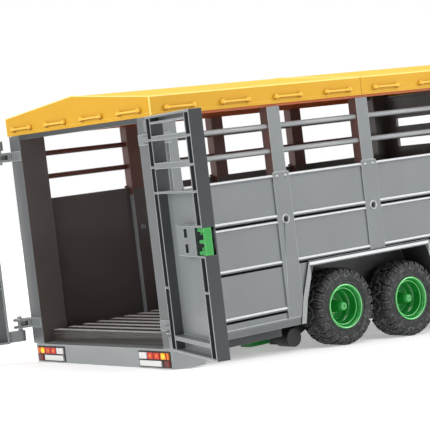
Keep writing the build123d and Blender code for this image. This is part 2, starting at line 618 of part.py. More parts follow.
with BuildPart() as door_latch:
    low, high = LATCH_HEIGHTS
    edge = DOOR_MEETING_GAP
    latch_rear = LEAF_REAR + POCKET_FLOOR + LATCH_CLEARANCE
    span(latch_rear, LEAF_FRONT, edge, edge + LATCH_GRIP, low, high)
    span(latch_rear, latch_rear + LATCH_BACK, edge, edge + LATCH_LENGTH, low, high)
    for z in (low, (low + high - LATCH_FINGER) / 2, high - LATCH_FINGER):
        span(latch_rear, LEAF_FRONT - 1, edge, edge + LATCH_LENGTH, z, z + LATCH_FINGER)
write(mirror(swung(door_latch.part, RIGHT_DOOR_ANGLE), about=Plane.XZ), "door_latch")

# ---- swing axles -------------------------------------------------------------------------------------
ARM_HALF_WIDTH = 3.2
BOSS_REACH = 4.9           # rear pivot boss, beyond the arm
BOSS_GAP = 0.3             # to the hangers
STUB_INSET = 4.1           # end of the stub axles, inside the tyre's outer face
STUB_END = TYRE_OUTER_FACE - STUB_INSET

for pivot_x, name in zip(PIVOTS, ("rear", "front")):
    angle = arm_angle(pivot_x)
    axle_x, axle_z = wheel_centre(pivot_x)
    with BuildPart() as arm:
        with BuildSketch(Plane.XZ.offset(-ARM_OUTER_FACE)):
            with Locations(Location((pivot_x, PIVOT_Z, 0), (0, 0, angle))):
                with Locations((ARM_LENGTH / 2, 0)):
                    SlotCenterToCenter(ARM_LENGTH, 2 * ARM_HALF_WIDTH)
        extrude(amount=ARM_THICKNESS)
        boss_outer = ARM_OUTER_FACE + (BOSS_REACH if name == "rear" else 0)
        cross_pin(pivot_x, PIVOT_Z, RAIL_OUTER + BOSS_GAP, boss_outer, ARM_BOSS_RADIUS)
        cross_pin(pivot_x, PIVOT_Z, RAIL_INNER, boss_outer - 1, SHAFT_RADIUS, mode=Mode.SUBTRACT)
        cross_pin(axle_x, axle_z, ARM_INNER_FACE, ARM_OUTER_FACE, STUB_RADIUS, mode=Mode.SUBTRACT)
    with BuildPart() as arms:
        add(arm.part)
        add(mirror(arm.part, about=Plane.XZ))
    write(arms.part, f"{name}_swing_arms")

    with BuildPart() as shaft:
        cross_pin(pivot_x, PIVOT_Z, 1 - boss_outer, boss_outer - 1, SHAFT_RADIUS)
    write(shaft.part, f"{name}_pivot_shaft")

    with BuildPart() as stubs:
        for side in (-1, 1):
            low, high = sorted((side * ARM_INNER_FACE, side * STUB_END))
            cross_pin(axle_x, axle_z, low, high, STUB_RADIUS)
    write(stubs.part, f"{name}_stub_axles")

LEVER_PLACE = (28.0, 38.0)
LEVER_LENGTH = 17.0
LEVER_BOSS = 2.0           # wall round the shaft
LEVER_DROP = (4.0, 1.0)    # lever's lower and upper faces, below the shaft

with BuildPart() as lowering_lever:
    low, high = LEVER_PLACE
    cross_pin(REAR_PIVOT_X, PIVOT_Z, -high, -low, SHAFT_RADIUS + LEVER_BOSS)
    span(REAR_PIVOT_X - LEVER_LENGTH, REAR_PIVOT_X, -high, -low, PIVOT_Z - LEVER_DROP[0],
         PIVOT_Z - LEVER_DROP[1])
    cross_pin(REAR_PIVOT_X, PIVOT_Z, -high, -low, SHAFT_RADIUS, mode=Mode.SUBTRACT)
write(lowering_lever.part, "lowering_lever")

# ---- wheels ------------------------------------------------------------------------------------------
SHOULDER = 3.5
SIDEWALL_BULGE = 5.0       # widest ring of the sidewall, out from the rim
RIM_WALL = 1.4
RIM_DISC = TYRE_INNER_FACE + 4.9    # where the dish's disc stands
CAP_RADIUS = 2.4
CAP_PROUD = 1.6
CAP_GAP = 0.2              # to the end of the stub axle


def revolved(points, centre):
    """Solid turned from a half-section given as (radius, distance from the centre plane)."""
    axle_x, axle_z = centre
    with BuildPart() as turned:
        with BuildSketch(Plane((axle_x, 0, axle_z), x_dir=(1, 0, 0), z_dir=(0, 0, 1))):
            Polygon(*points, align=None)
        revolve(axis=Axis((axle_x, 0, axle_z), (0, 1, 0)))
    return turned.part


for pivot_x, name in zip(PIVOTS, ("rear", "front")):
    centre = wheel_centre(pivot_x)
    outer, inner = TYRE_OUTER_FACE, TYRE_INNER_FACE
    tyre = revolved(
        [(RIM_RADIUS, inner + 1.5), (RIM_RADIUS, outer - 1.5), (RIM_RADIUS + 1.5, outer - 0.6),
         (RIM_RADIUS + SIDEWALL_BULGE, outer), (WHEEL_RADIUS - SHOULDER, outer - 0.6), (WHEEL_RADIUS, outer - SHOULDER),
         (WHEEL_RADIUS, inner + SHOULDER), (WHEEL_RADIUS - SHOULDER, inner + 0.6),
         (RIM_RADIUS + SIDEWALL_BULGE, inner), (RIM_RADIUS + 1.5, inner + 0.6)],
        centre,
    )
    write_pair(tyre, f"{name}_tyre")
    bore = STUB_RADIUS + RUNNING_FIT
    rim = revolved(
        [(bore, RIM_DISC - 3), (bore, STUB_END + CAP_GAP), (HUB_RADIUS - 0.6, STUB_END + CAP_GAP),
         (HUB_RADIUS + 0.6, RIM_DISC + RIM_WALL), (RIM_RADIUS - 5.2, RIM_DISC + RIM_WALL),
         (RIM_RADIUS - 4, RIM_DISC + 4.5), (RIM_RADIUS - 2.8, RIM_DISC + 5.5),
         (RIM_RADIUS - 1.6, outer - 2.0), (RIM_RADIUS - 0.6, outer - 0.8),
         (RIM_RADIUS, outer - 0.8), (RIM_RADIUS, inner + 1.0), (RIM_RADIUS - RIM_WALL, inner + 1.0),
         (RIM_RADIUS - RIM_WALL, RIM_DISC - 0.5), (HUB_RADIUS + 1, RIM_DISC), (HUB_RADIUS + 1, RIM_DISC - 3)],
        centre,
    )
    write_pair(rim, f"{name}_rim")
    hub_cap = revolved(
        [(0, STUB_END + CAP_GAP), (HUB_RADIUS - 0.6, STUB_END + CAP_GAP), (HUB_RADIUS - 0.6, STUB_END + 0.6),
         (CAP_RADIUS, STUB_END + CAP_PROUD), (0, STUB_END + CAP_PROUD)],
        centre,
    )
    write_pair(hub_cap, f"{name}_hub_cap")

# ---- drawbar, tow eye and jack -----------------------------------------------------------------------
NOSE_HALF = 5.0
NOSE_SOLID = 14.0          # length where the two beams are one
JACK_PAD = (8.0, 15.0)     # half length and half width of the crossbar that holds the jack
EYE_SHANK_RADIUS = 2.4
EYE_SHANK_SEAT = 8.0

with BuildPart() as drawbar:
    with BuildSketch(Plane.XY.offset(CHASSIS_BOTTOM)):
        Polygon(
            (CHASSIS_FRONT, -RAIL_OUTER), (DRAWBAR_NOSE, -NOSE_HALF), (DRAWBAR_NOSE, NOSE_HALF),
            (CHASSIS_FRONT, RAIL_OUTER), (CHASSIS_FRONT, RAIL_INNER), (DRAWBAR_NOSE - NOSE_SOLID, 0),
            (CHASSIS_FRONT, -RAIL_INNER), align=None,
        )
    extrude(amount=DRAWBAR_TOP - CHASSIS_BOTTOM)
    half, reach = JACK_PAD
    span(JACK_X - half, JACK_X + half, -reach, reach, CHASSIS_BOTTOM + 1, DRAWBAR_TOP - 1)
    upright(JACK_X, 0, CHASSIS_BOTTOM, DRAWBAR_TOP, JACK_TUBE_RADIUS, mode=Mode.SUBTRACT)
    eye_z = sum(EYE_HEIGHTS) / 2
    rod(DRAWBAR_NOSE - EYE_SHANK_SEAT, DRAWBAR_NOSE, 0, eye_z, EYE_SHANK_RADIUS, mode=Mode.SUBTRACT)
write(drawbar.part, "drawbar")

with BuildPart() as tow_eye:
    upright(EYE_X, 0, *EYE_HEIGHTS, EYE_RADIUS)
    rod(DRAWBAR_NOSE - EYE_SHANK_SEAT, EYE_X - EYE_RADIUS + 1, 0, eye_z, EYE_SHANK_RADIUS)
    upright(EYE_X, 0, EYE_HEIGHTS[0] - 1, EYE_HEIGHTS[1] + 1, EYE_BORE_RADIUS, mode=Mode.SUBTRACT)
write(tow_eye.part, "tow_eye")

JACK_CAP = 3.0

with BuildPart() as jack_tube:
    upright(JACK_X, 0, *JACK_TUBE_HEIGHTS, JACK_TUBE_RADIUS)
    upright(JACK_X, 0, JACK_TUBE_HEIGHTS[0], JACK_TUBE_HEIGHTS[1] - JACK_CAP,
            JACK_LEG_RADIUS + RUNNING_FIT, mode=Mode.SUBTRACT)
write(jack_tube.part, "jack_tube")

FOOT_TOP = 5.5             # above the ground, where the leg ends in the foot
foot_ground = Location((JACK_X, 0, JACK_GROUND_Z), (0, STANCE_PITCH, 0))

with BuildPart() as jack_leg:
    upright(JACK_X, 0, JACK_GROUND_Z + FOOT_TOP, JACK_TUBE_HEIGHTS[1] - JACK_CAP - 0.5, JACK_LEG_RADIUS)
write(jack_leg.part, "jack_leg")

with BuildPart() as jack_foot:
    with Locations(foot_ground):
        Cylinder(FOOT_RADIUS, FOOT_THICKNESS, align=(Align.CENTER, Align.CENTER, Align.MIN))
    upright(JACK_X, 0, JACK_GROUND_Z + FOOT_THICKNESS - 1, JACK_GROUND_Z + FOOT_TOP, JACK_LEG_RADIUS + 1)
write(jack_foot.part, "jack_foot")
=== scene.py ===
"""Livestock trailer, a 1:16 moulded model: its looks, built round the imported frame.

Sizes are in millimetres in the trailer's own frame (X forward from the rear end frame, Y left,
Z up from the rear bumper's lower edge) and are turned into the row's metres by Stance.
"""

import json
import logging
import math
from dataclasses import dataclass, field
from enum import Enum

import bmesh
import bpy
from mathutils import Matrix, Vector


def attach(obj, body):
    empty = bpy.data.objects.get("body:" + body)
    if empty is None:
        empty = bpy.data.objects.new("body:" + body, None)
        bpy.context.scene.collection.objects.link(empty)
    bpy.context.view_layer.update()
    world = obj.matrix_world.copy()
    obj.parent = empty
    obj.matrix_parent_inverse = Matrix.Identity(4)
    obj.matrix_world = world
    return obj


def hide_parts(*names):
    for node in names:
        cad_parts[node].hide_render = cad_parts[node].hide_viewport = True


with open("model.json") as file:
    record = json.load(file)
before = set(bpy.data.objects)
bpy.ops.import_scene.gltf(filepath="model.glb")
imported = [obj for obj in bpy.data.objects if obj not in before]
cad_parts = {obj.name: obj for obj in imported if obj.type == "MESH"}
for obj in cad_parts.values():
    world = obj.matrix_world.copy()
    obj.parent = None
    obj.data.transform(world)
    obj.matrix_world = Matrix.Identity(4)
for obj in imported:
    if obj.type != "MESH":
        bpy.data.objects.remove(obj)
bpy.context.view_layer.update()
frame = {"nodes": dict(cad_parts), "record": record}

LOG = logging.getLogger("livestock_trailer")
MM = 0.001

Point = tuple[float, float, float]
Colour = tuple[float, float, float]


# ---- where things are -----------------------------------------------------------------------------


class Stance:
    """Turns the trailer's own millimetres into the row's metres."""

    JACK_X = 385.0
    BUMPER_REAR = -0.7

    def __init__(self) -> None:
        """Read the pitch of the lowered body from the jack's slide."""
        slide = next(j for j in frame["record"]["behaviour"]["joints"] if j["name"] == "jack_leg_slide")
        self.pitch = math.asin(slide["axis"][0])
        self.ground = -(self.JACK_X - self.BUMPER_REAR) * math.tan(self.pitch)
        self.matrix = (
            Matrix.Scale(MM, 4)
            @ Matrix.Rotation(-self.pitch, 4, "Y")
            @ Matrix.Translation((-self.JACK_X, 0.0, -self.ground))
        )

    def place(self, point: Point) -> Vector:
        """Row position, in metres, of a trailer point in millimetres."""
        return self.matrix @ Vector(point)

    def direction(self, vector: Point) -> Vector:
        """Row direction of a trailer direction, with length one."""
        return (self.matrix.to_3x3() @ Vector(vector)).normalized()


# ---- shader node groups ---------------------------------------------------------------------------


class NodeBuilder:
    """Adds nodes to one shader node tree and fills their inputs."""

    def __init__(self, tree: bpy.types.NodeTree) -> None:
        """Work in the node tree that receives the nodes."""
        self.tree = tree

    def fill(self, target: bpy.types.NodeSocket, value: object) -> None:
        """Give an input its value.

        Args:
            target: The input.
            value: An output to link to it, or a number, colour or vector to set on it.
        """
        if isinstance(value, bpy.types.NodeSocket):
            self.tree.links.new(value, target)
        elif target.type == "RGBA":
            target.default_value = (*value, 1.0)
        else:
            target.default_value = value

    def add(self, kind: str, inputs: dict[object, object] | None = None, **values: object) -> bpy.types.Node:
        """Add a node, set its properties and fill its inputs.

        Args:
            kind: Node type without its ShaderNode prefix.
            inputs: What fills each named or numbered input.
            values: Properties to set on the node.

        Returns:
            The new node.
        """
        node = self.tree.nodes.new(kind if kind.startswith("Node") else f"ShaderNode{kind}")
        for name, value in values.items():
            setattr(node, name, value)
        for name, value in (inputs or {}).items():
            self.fill(node.inputs[name], value)
        return node

    def noise(self, place: bpy.types.NodeSocket, scale: float, detail: float = 4.0,
              roughness: float = 0.55) -> bpy.types.NodeSocket:
        """Noise texture at a place, as its factor output."""
        inputs = {"Vector": place, "Scale": scale, "Detail": detail, "Roughness": roughness}
        return self.add("TexNoise", inputs).outputs["Fac"]

    def remap(self, value: bpy.types.NodeSocket, low: float, high: float, to_low: float = 0.0,
              to_high: float = 1.0) -> bpy.types.NodeSocket:
        """Map a value from one range to another, clamped."""
        inputs = {"Value": value, "From Min": low, "From Max": high, "To Min": to_low, "To Max": to_high}
        return self.add("MapRange", inputs).outputs["Result"]

    def math(self, operation: str, first: object, second: object) -> bpy.types.NodeSocket:
        """Arithmetic on two sockets or numbers."""
        return self.add("Math", {0: first, 1: second}, operation=operation).outputs[0]

    def mix(self, factor: object, first: object, second: object) -> bpy.types.NodeSocket:
        """Mix two colours by a factor; each may be a socket or a constant."""
        return self.add("Mix", {0: factor, 6: first, 7: second}, data_type="RGBA").outputs[2]


SURFACE_OUTPUTS = [("Colour", "Color"), ("Roughness", "Float"), ("Height", "Float")]


def new_group(name: str, inputs: list[tuple[str, str, object]],
              outputs: list[tuple[str, str]]) -> tuple[bpy.types.NodeTree, NodeBuilder, object, object]:
    """Make a shader node group with named sockets.

    Args:
        name: Name of the group.
        inputs: Name, socket kind and default value of each input.
        outputs: Name and socket kind of each output.

    Returns:
        The group, a builder for its nodes, what it is given and what it puts out.
    """
    group = bpy.data.node_groups.new(name, "ShaderNodeTree")
    for label, kind, value in inputs:
        socket = group.interface.new_socket(label, in_out="INPUT", socket_type=f"NodeSocket{kind}")
        socket.default_value = value
    for label, kind in outputs:
        group.interface.new_socket(label, in_out="OUTPUT", socket_type=f"NodeSocket{kind}")
    make = NodeBuilder(group)
    return group, make, make.add("NodeGroupInput").outputs, make.add("NodeGroupOutput").inputs


def edge_wear_and_highlight(make: NodeBuilder, radius: float, flat: float, sharp: float) -> bpy.types.NodeSocket:
    """How much of an edge a point is, from 0 on flat stretches to 1 on the edge itself.

    Args:
        make: Builder of the group's nodes.
        radius: Reach of the edge in millimetres.
        flat: Agreement of the rounded and the plain normal at which the edge begins.
        sharp: Agreement at which it is full.

    Returns:
        The mask.
    """
    rounded = make.add("Bevel", {"Radius": radius * MM}, samples=6).outputs["Normal"]
    plain = make.add("NewGeometry").outputs["Normal"]
    agreement = make.add("VectorMath", {0: rounded, 1: plain}, operation="DOT_PRODUCT")
    return make.remap(agreement.outputs["Value"], flat, sharp)


def moulded_surface() -> bpy.types.NodeTree:
    """Injection-moulded plastic: soft cloudy tone, edges bright from painted highlight and rubbed wear, fine
    grain, faint scuffs.
    """
    group, make, given, result = new_group(
        "moulded_surface",
        [("Colour", "Color", (0.5, 0.5, 0.5, 1.0)), ("Edge Colour", "Color", (0.8, 0.8, 0.8, 1.0)),
         ("Edge Amount", "Float", 0.6), ("Cloud Amount", "Float", 0.12), ("Roughness", "Float", 0.4),
         ("Scuff Amount", "Float", 0.1)],
        SURFACE_OUTPUTS,
    )
    place = make.add("TexCoord").outputs["Object"]

    cloud = make.remap(make.noise(place, 28.0, 3.0), 0.3, 0.7, -0.5, 0.5)
    tone = make.math("ADD", 1.0, make.math("MULTIPLY", cloud, given["Cloud Amount"]))
    shaded = make.add("VectorMath", {0: given["Colour"], "Scale": tone}, operation="SCALE").outputs[0]
    # Painted highlight, partly rubbed wear: edges turn towards the lighter edge colour.
    edge = make.math("MULTIPLY", edge_wear_and_highlight(make, 0.55, 0.995, 0.90), given["Edge Amount"])
    make.fill(result["Colour"], make.mix(edge, shaded, given["Edge Colour"]))

    stretched = make.add("Mapping", {"Scale": (0.25, 1.0, 1.6), "Vector": place}).outputs["Vector"]
    scuffs = make.remap(make.noise(stretched, 900.0, 5.0, 0.7), 0.56, 0.72)
    scuffed = make.math("ADD", given["Roughness"], make.math("MULTIPLY", scuffs, given["Scuff Amount"]))
    blotch = make.remap(make.noise(place, 60.0, 2.0), 0.35, 0.65, -0.04, 0.04)
    make.fill(result["Roughness"], make.math("ADD", scuffed, blotch))
    grain = make.math("MULTIPLY", make.noise(place, 2600.0, 2.0), 0.6)
    make.fill(result["Height"], make.math("ADD", grain, make.noise(place, 90.0, 1.0)))
    return group


def rubber_surface() -> bpy.types.NodeTree:
    """Matt rubber, greyed on its edges by painted highlight and in random patches by dust, with a coarse
    skin.
    """
    group, make, given, result = new_group(
        "rubber_surface",
        [("Colour", "Color", (0.02, 0.02, 0.02, 1.0)), ("Dust And Highlight Colour", "Color", (0.2, 0.2, 0.2, 1.0)),
         ("Dust And Highlight Amount", "Float", 0.3)],
        SURFACE_OUTPUTS,
    )
    place = make.add("TexCoord").outputs["Object"]
    patch = make.remap(make.noise(place, 420.0, 5.0, 0.7), 0.50, 0.72, 0.0, 0.22)
    # Painted highlight on the edges, plus dust in random patches.
    dust_and_highlight = make.math("ADD", edge_wear_and_highlight(make, 0.6, 0.985, 0.80), patch)
    dust_and_highlight = make.math("MULTIPLY", dust_and_highlight, given["Dust And Highlight Amount"])
    make.fill(result["Colour"], make.mix(dust_and_highlight, given["Colour"], given["Dust And Highlight Colour"]))
    make.fill(result["Roughness"], make.remap(make.noise(place, 500.0), 0.3, 0.7, 0.55, 0.8))
    make.fill(result["Height"], make.noise(place, 1800.0, 4.0, 0.6))
    return group


def fold_sides(make: NodeBuilder, vector: bpy.types.NodeSocket,
               side: bpy.types.NodeSocket) -> bpy.types.NodeSocket:
    """Turn a vector's Y outwards on both sides of the trailer."""
    axes = make.add("SeparateXYZ", {0: vector}).outputs
    outwards = make.math("MULTIPLY", axes["Y"], side)
    return make.add("CombineXYZ", {"X": axes["X"], "Y": outwards, "Z": axes["Z"]}).outputs["Vector"]


def trailer_place(stance: Stance) -> bpy.types.NodeTree:
    """Where a point is and which way it faces, with both sides of the trailer folded into one.

    Args:
        stance: Where the trailer stands.

    Returns:
        The node group.
    """
    group, make, _, result = new_group("trailer_place", [], [("Place", "Vector"), ("Facing", "Vector")])
    place = make.add("Mapping", {
        "Location": (stance.JACK_X, 0.0, stance.ground), "Rotation": (0.0, stance.pitch, 0.0),
        "Scale": (1 / MM,) * 3, "Vector": make.add("TexCoord").outputs["Object"],
    }, vector_type="POINT").outputs["Vector"]
    side = make.math("SIGN", make.add("SeparateXYZ", {0: place}).outputs["Y"], 0.0)
    normal = make.add("VectorTransform", {"Vector": make.add("NewGeometry").outputs["True Normal"]},
                      vector_type="NORMAL", convert_from="WORLD", convert_to="OBJECT").outputs["Vector"]
    make.fill(result["Place"], fold_sides(make, place, side))
    make.fill(result["Facing"], fold_sides(make, normal, side))
    return group


def facing_region() -> bpy.types.NodeTree:
    """Mask of the faces that look one way inside a box."""
    origin = (0, 0, 0)
    group, make, given, result = new_group(
        "facing_region",
        [("Place", "Vector", origin), ("Facing", "Vector", origin), ("Low", "Vector", origin),
         ("High", "Vector", origin), ("Direction", "Vector", (0, 0, 1)), ("Softness", "Float", 1.0)],
        [("Mask", "Float")],
    )
    along = make.add("VectorMath", {0: given["Facing"], 1: given["Direction"]}, operation="DOT_PRODUCT")
    mask = make.remap(along.outputs["Value"], 0.35, 0.75)
    for first, second in (("Place", "Low"), ("High", "Place")):
        inside = make.add("VectorMath", {0: given[first], 1: given[second]}, operation="SUBTRACT")
        axes = make.add("SeparateXYZ", {0: inside.outputs[0]}).outputs
        for axis in "XYZ":
            part = make.add("Math", {0: axes[axis], 1: given["Softness"]}, operation="DIVIDE", use_clamp=True)
            mask = make.math("MULTIPLY", mask, part.outputs[0])
    make.fill(result["Mask"], mask)
    return group


# ---- finishes -------------------------------------------------------------------------------------


class Bump(Enum):
    """How strongly a surface's fine relief shows."""

    SMOOTH = 0.03
    SATIN = 0.08
    GRAINED = 0.2


# How many times lighter than a painted shade the painted highlight on its edges is.
EDGE_LIFT = 2.2
COAT_ROUGHNESS = 0.12
RELIEF_DEPTH = 0.1 * MM

@dataclass(frozen=True)
class Shade:
    """A colour on the faces that look one way inside a box: mostly painted light or shade, a few real
    colours.

    Sizes are in trailer millimetres; Y counts outwards from the centre plane on both sides.
    """

    colour: Colour
    direction: Point
    low: Point = (-200.0, -1.0, -20.0)
    high: Point = (400.0, 200.0, 200.0)
    strength: float = 1.0
    softness: float = 1.0


@dataclass(frozen=True)
class SurfaceGroups:
    """The node groups that every finish shares."""

    moulded: bpy.types.NodeTree
    rubber: bpy.types.NodeTree
    place: bpy.types.NodeTree
    region: bpy.types.NodeTree


@dataclass(frozen=True)
class MouldedFinish:
    """One colour of moulded plastic."""

    name: str
    colour: Colour
    edge_colour: Colour
    edge_amount: float = 0.6
    cloud: float = 0.12
    roughness: float = 0.42
    scuff: float = 0.12
    coat: float = 0.0
    relief: Bump = Bump.SATIN
    shades: tuple[Shade, ...] = ()
    specular: float = 0.5

    def build(self, groups: SurfaceGroups) -> bpy.types.Material:
        """Make the material.

        Args:
            groups: The shared node groups.

        Returns:
            The finished material.
        """
        material, make, shader = start_material(self.name)
        surface = make.add("Group", {
            "Colour": self.colour, "Edge Colour": self.edge_colour, "Edge Amount": self.edge_amount,
            "Cloud Amount": self.cloud, "Roughness": self.roughness, "Scuff Amount": self.scuff,
        }, node_tree=groups.moulded)
        if self.shades:
            self.add_shades(make, groups, surface)
        shader.inputs["Coat Weight"].default_value = self.coat
        shader.inputs["Coat Roughness"].default_value = COAT_ROUGHNESS
        shader.inputs["Specular IOR Level"].default_value = self.specular
        join_surface(make, shader, surface, self.relief)
        return material

    def add_shades(self, make: NodeBuilder, groups: SurfaceGroups, surface: bpy.types.Node) -> None:
        """Lay each shade, mostly painted light or shade, over the plain colour, and quieten the bright edges
        there.

        Args:
            make: Builder of the material's nodes.
            groups: The shared node groups.
            surface: The moulded surface node that takes the colour.
        """
        place = make.add("Group", node_tree=groups.place).outputs
        colour: object = self.colour
        edge: object = self.edge_colour
        for shade in self.shades:
            region = make.add("Group", {
                "Place": place["Place"], "Facing": place["Facing"], "Low": shade.low, "High": shade.high,
                "Direction": shade.direction, "Softness": shade.softness,
            }, node_tree=groups.region)
            mask = make.math("MULTIPLY", region.outputs["Mask"], shade.strength)
            colour = make.mix(mask, colour, shade.colour)
            # Edges inside a painted shade keep a painted highlight, EDGE_LIFT times its colour.
            edge = make.mix(mask, edge, tuple(EDGE_LIFT * part for part in shade.colour))
        make.fill(surface.inputs["Colour"], colour)
        make.fill(surface.inputs["Edge Colour"], edge)


@dataclass(frozen=True)
class RubberFinish:
    """Tyre rubber."""

    name: str = "tyre_rubber"
    colour: Colour = (0.008, 0.0085, 0.009)
    # Grey of the dust and of the painted highlight on the tyre's edges.
    dust_and_highlight_colour: Colour = (0.40, 0.41, 0.42)
    dust_and_highlight: float = 0.85

    def build(self, groups: SurfaceGroups) -> bpy.types.Material:
        """Make the material.

        Args:
            groups: The shared node groups.

        Returns:
            The finished material.
        """
        material, make, shader = start_material(self.name)
        inputs = {"Colour": self.colour, "Dust And Highlight Colour": self.dust_and_highlight_colour, "Dust And Highlight Amount": self.dust_and_highlight}
        join_surface(make, shader, make.add("Group", inputs, node_tree=groups.rubber), Bump.GRAINED)
        return material


def start_material(name: str) -> tuple[bpy.types.Material, NodeBuilder, bpy.types.Node]:
    """Make an empty material with its shader and output.

    Args:
        name: Name of the material.

    Returns:
        The material, a builder for its nodes, and its Principled shader.
    """
    material = bpy.data.materials.new(name)
    material.use_nodes = True
    material.node_tree.nodes.clear()
    make = NodeBuilder(material.node_tree)
    shader = make.add("BsdfPrincipled")
    make.add("OutputMaterial", {"Surface": shader.outputs["BSDF"]})
    return material, make, shader


def join_surface(make: NodeBuilder, shader: bpy.types.Node, surface: bpy.types.Node, relief: Bump) -> None:
    """Feed a surface group's colour, roughness and height to the shader.

    Args:
        make: Builder of the material's nodes.
        shader: The material's Principled shader.
        surface: The surface group's node.
        relief: How strongly the height shows.
    """
    bump = make.add("Bump", {"Strength": relief.value, "Distance": RELIEF_DEPTH,
                             "Height": surface.outputs["Height"]})
    make.fill(shader.inputs["Base Color"], surface.outputs["Colour"])
    make.fill(shader.inputs["Roughness"], surface.outputs["Roughness"])
    make.fill(shader.inputs["Normal"], bump.outputs["Normal"])


OUTWARDS, INWARDS = (0.0, 1.0, 0.0), (0.0, -1.0, 0.0)
UPWARDS, DOWNWARDS = (0.0, 0.0, 1.0), (0.0, 0.0, -1.0)
BACKWARDS = (-1.0, 0.0, 0.0)
ROOF_GLOOM = (0.26, 0.055, 0.008)
RIM_GREY = (0.30, 0.315, 0.32)
# Colour of the painted shade in the hinge brackets' webs.
WEB_SHADE_COLOUR = (0.03, 0.032, 0.034)
# Colour of the painted shade on the doors' free end faces.
LEAF_END_SHADE_COLOUR = (0.034, 0.039, 0.043)
WEB_DEPTH = 5.4

# Painted shade inside the body: inward faces of the walls and the front wall darker, red-brown near the roof.
INTERIOR_SHADE = Shade((0.085, 0.070, 0.066), INWARDS, (-1.0, -1.0, 12.0), (342.0, 77.2, 153.0))
INTERIOR_TOP_SHADE = Shade((0.135, 0.042, 0.028), INWARDS, (-1.0, -1.0, 104.0), (342.0, 77.2, 153.0), 0.9)
FRONT_INSIDE_SHADE = Shade((0.060, 0.046, 0.042), BACKWARDS, (300.0, -1.0, 12.0), (342.0, 77.2, 153.0))
# Painted light on the tops of the floor slats and painted shade on their rear faces.
SLAT_TOP_LIGHT = Shade((0.82, 0.81, 0.80), UPWARDS, (7.0, -1.0, 18.6), (342.0, 77.0, 25.0))
SLAT_END_SHADE = Shade((0.045, 0.038, 0.035), BACKWARDS, (5.0, -1.0, 12.0), (342.0, 77.0, 25.0))
# The first is a painted highlight along the top of the arch lip; the other two give the lip's ends a light
# grey.
ARCH_LIP_GREY_AND_HIGHLIGHT = (
    Shade((0.66, 0.68, 0.69), OUTWARDS, (107.5, 77.0, 46.3), (218.5, 82.0, 48.5), 1.0, 0.3),
    Shade(RIM_GREY, OUTWARDS, (90.0, 77.0, -5.0), (110.0, 82.0, 48.5), 1.0, 0.5),
    Shade(RIM_GREY, OUTWARDS, (216.0, 77.0, -5.0), (240.0, 82.0, 48.5), 1.0, 0.5),
)
# Red-brown painted shade on the rear faces of the posts' upper ends, under the yellow roof.
POST_BACK_SHADE = Shade((0.10, 0.034, 0.025), BACKWARDS, (30.0, -1.0, 100.0), (300.0, 79.5, 153.0))
# Painted shade on the downward faces of the rails.
RAIL_BOTTOM_SHADE = Shade((0.08, 0.075, 0.075), DOWNWARDS, (0.0, -1.0, 20.0), (342.0, 79.5, 153.0), 0.8)
# Painted shade under and inside the yellow roof, in the dim orange of ROOF_GLOOM.
ROOF_UNDERSIDE_SHADE = Shade(ROOF_GLOOM, DOWNWARDS, (0.0, -1.0, 140.0), (342.0, 79.0, 169.0))
ROOF_INNER_WALL_SHADE = Shade(ROOF_GLOOM, INWARDS, (0.0, -1.0, 140.0), (342.0, 79.6, 169.0))
# Painted light: the roof's upward faces lighter yellow.
ROOF_TOP_LIGHT = Shade((0.84, 0.56, 0.05), UPWARDS, (-3.0, -1.0, 157.0), (344.0, 82.0, 171.0), 0.9)
# Painted shadow on the undersides of the lashing bars.
BAR_UNDERSIDE_SHADOW = Shade((0.30, 0.11, 0.008), DOWNWARDS)
# Painted shade on the lower half of the beads, rivets and hole rings.
BEAD_UNDERSIDE_SHADE = Shade((0.14, 0.15, 0.155), (0.0, 0.6, -0.8))
# Painted shade on the sill's outer face along the bottom of the side.
SILL_SHADE = Shade((0.095, 0.102, 0.105), OUTWARDS, (15.0, 77.2, 8.0), (325.0, 81.0, 15.6), 0.8)
# Painted shade on the floor of the latch pocket in the right door.
LATCH_POCKET_SHADE = Shade((0.012, 0.013, 0.014), (-0.948, -0.317, 0.0), (-31.5, 149.0, 68.0), (-24.0, 166.0, 88.0))
# Painted shade on the rear faces of the doorway's posts, and a deeper one on the header under the roof.
PORTAL_BACK_SHADE = Shade((0.105, 0.110, 0.112), BACKWARDS, (-2.0, 64.0, 12.5), (1.0, 79.5, 149.5), 0.85)
HEADER_SHADE = Shade((0.045, 0.048, 0.050), BACKWARDS, (-2.0, -2.0, 144.5), (1.0, 66.5, 150.0))
# Painted shade in the hinge brackets' recessed webs, between their plates.
BRACKET_WEB_SHADES = tuple(
    Shade(WEB_SHADE_COLOUR, direction, (-14.0, inner, bottom), (front, 90.0, bottom + WEB_DEPTH))
    for bottom in (23.3, 133.0)
    for direction, inner, front in ((BACKWARDS, 76.0, 4.0), (OUTWARDS, 70.0, 2.0))
)
REFLECTOR = Shade((0.13, 0.012, 0.010), BACKWARDS, (-4.0, 60.0, -2.0), (2.0, 80.0, 6.2))
# Painted shade on the free end faces of the opened door leaves.
RIGHT_LEAF_END_SHADE = Shade(LEAF_END_SHADE_COLOUR, (-0.317, 0.948, 0.0))
LEFT_LEAF_END_SHADE = Shade(LEAF_END_SHADE_COLOUR, (-0.891, 0.454, 0.0))


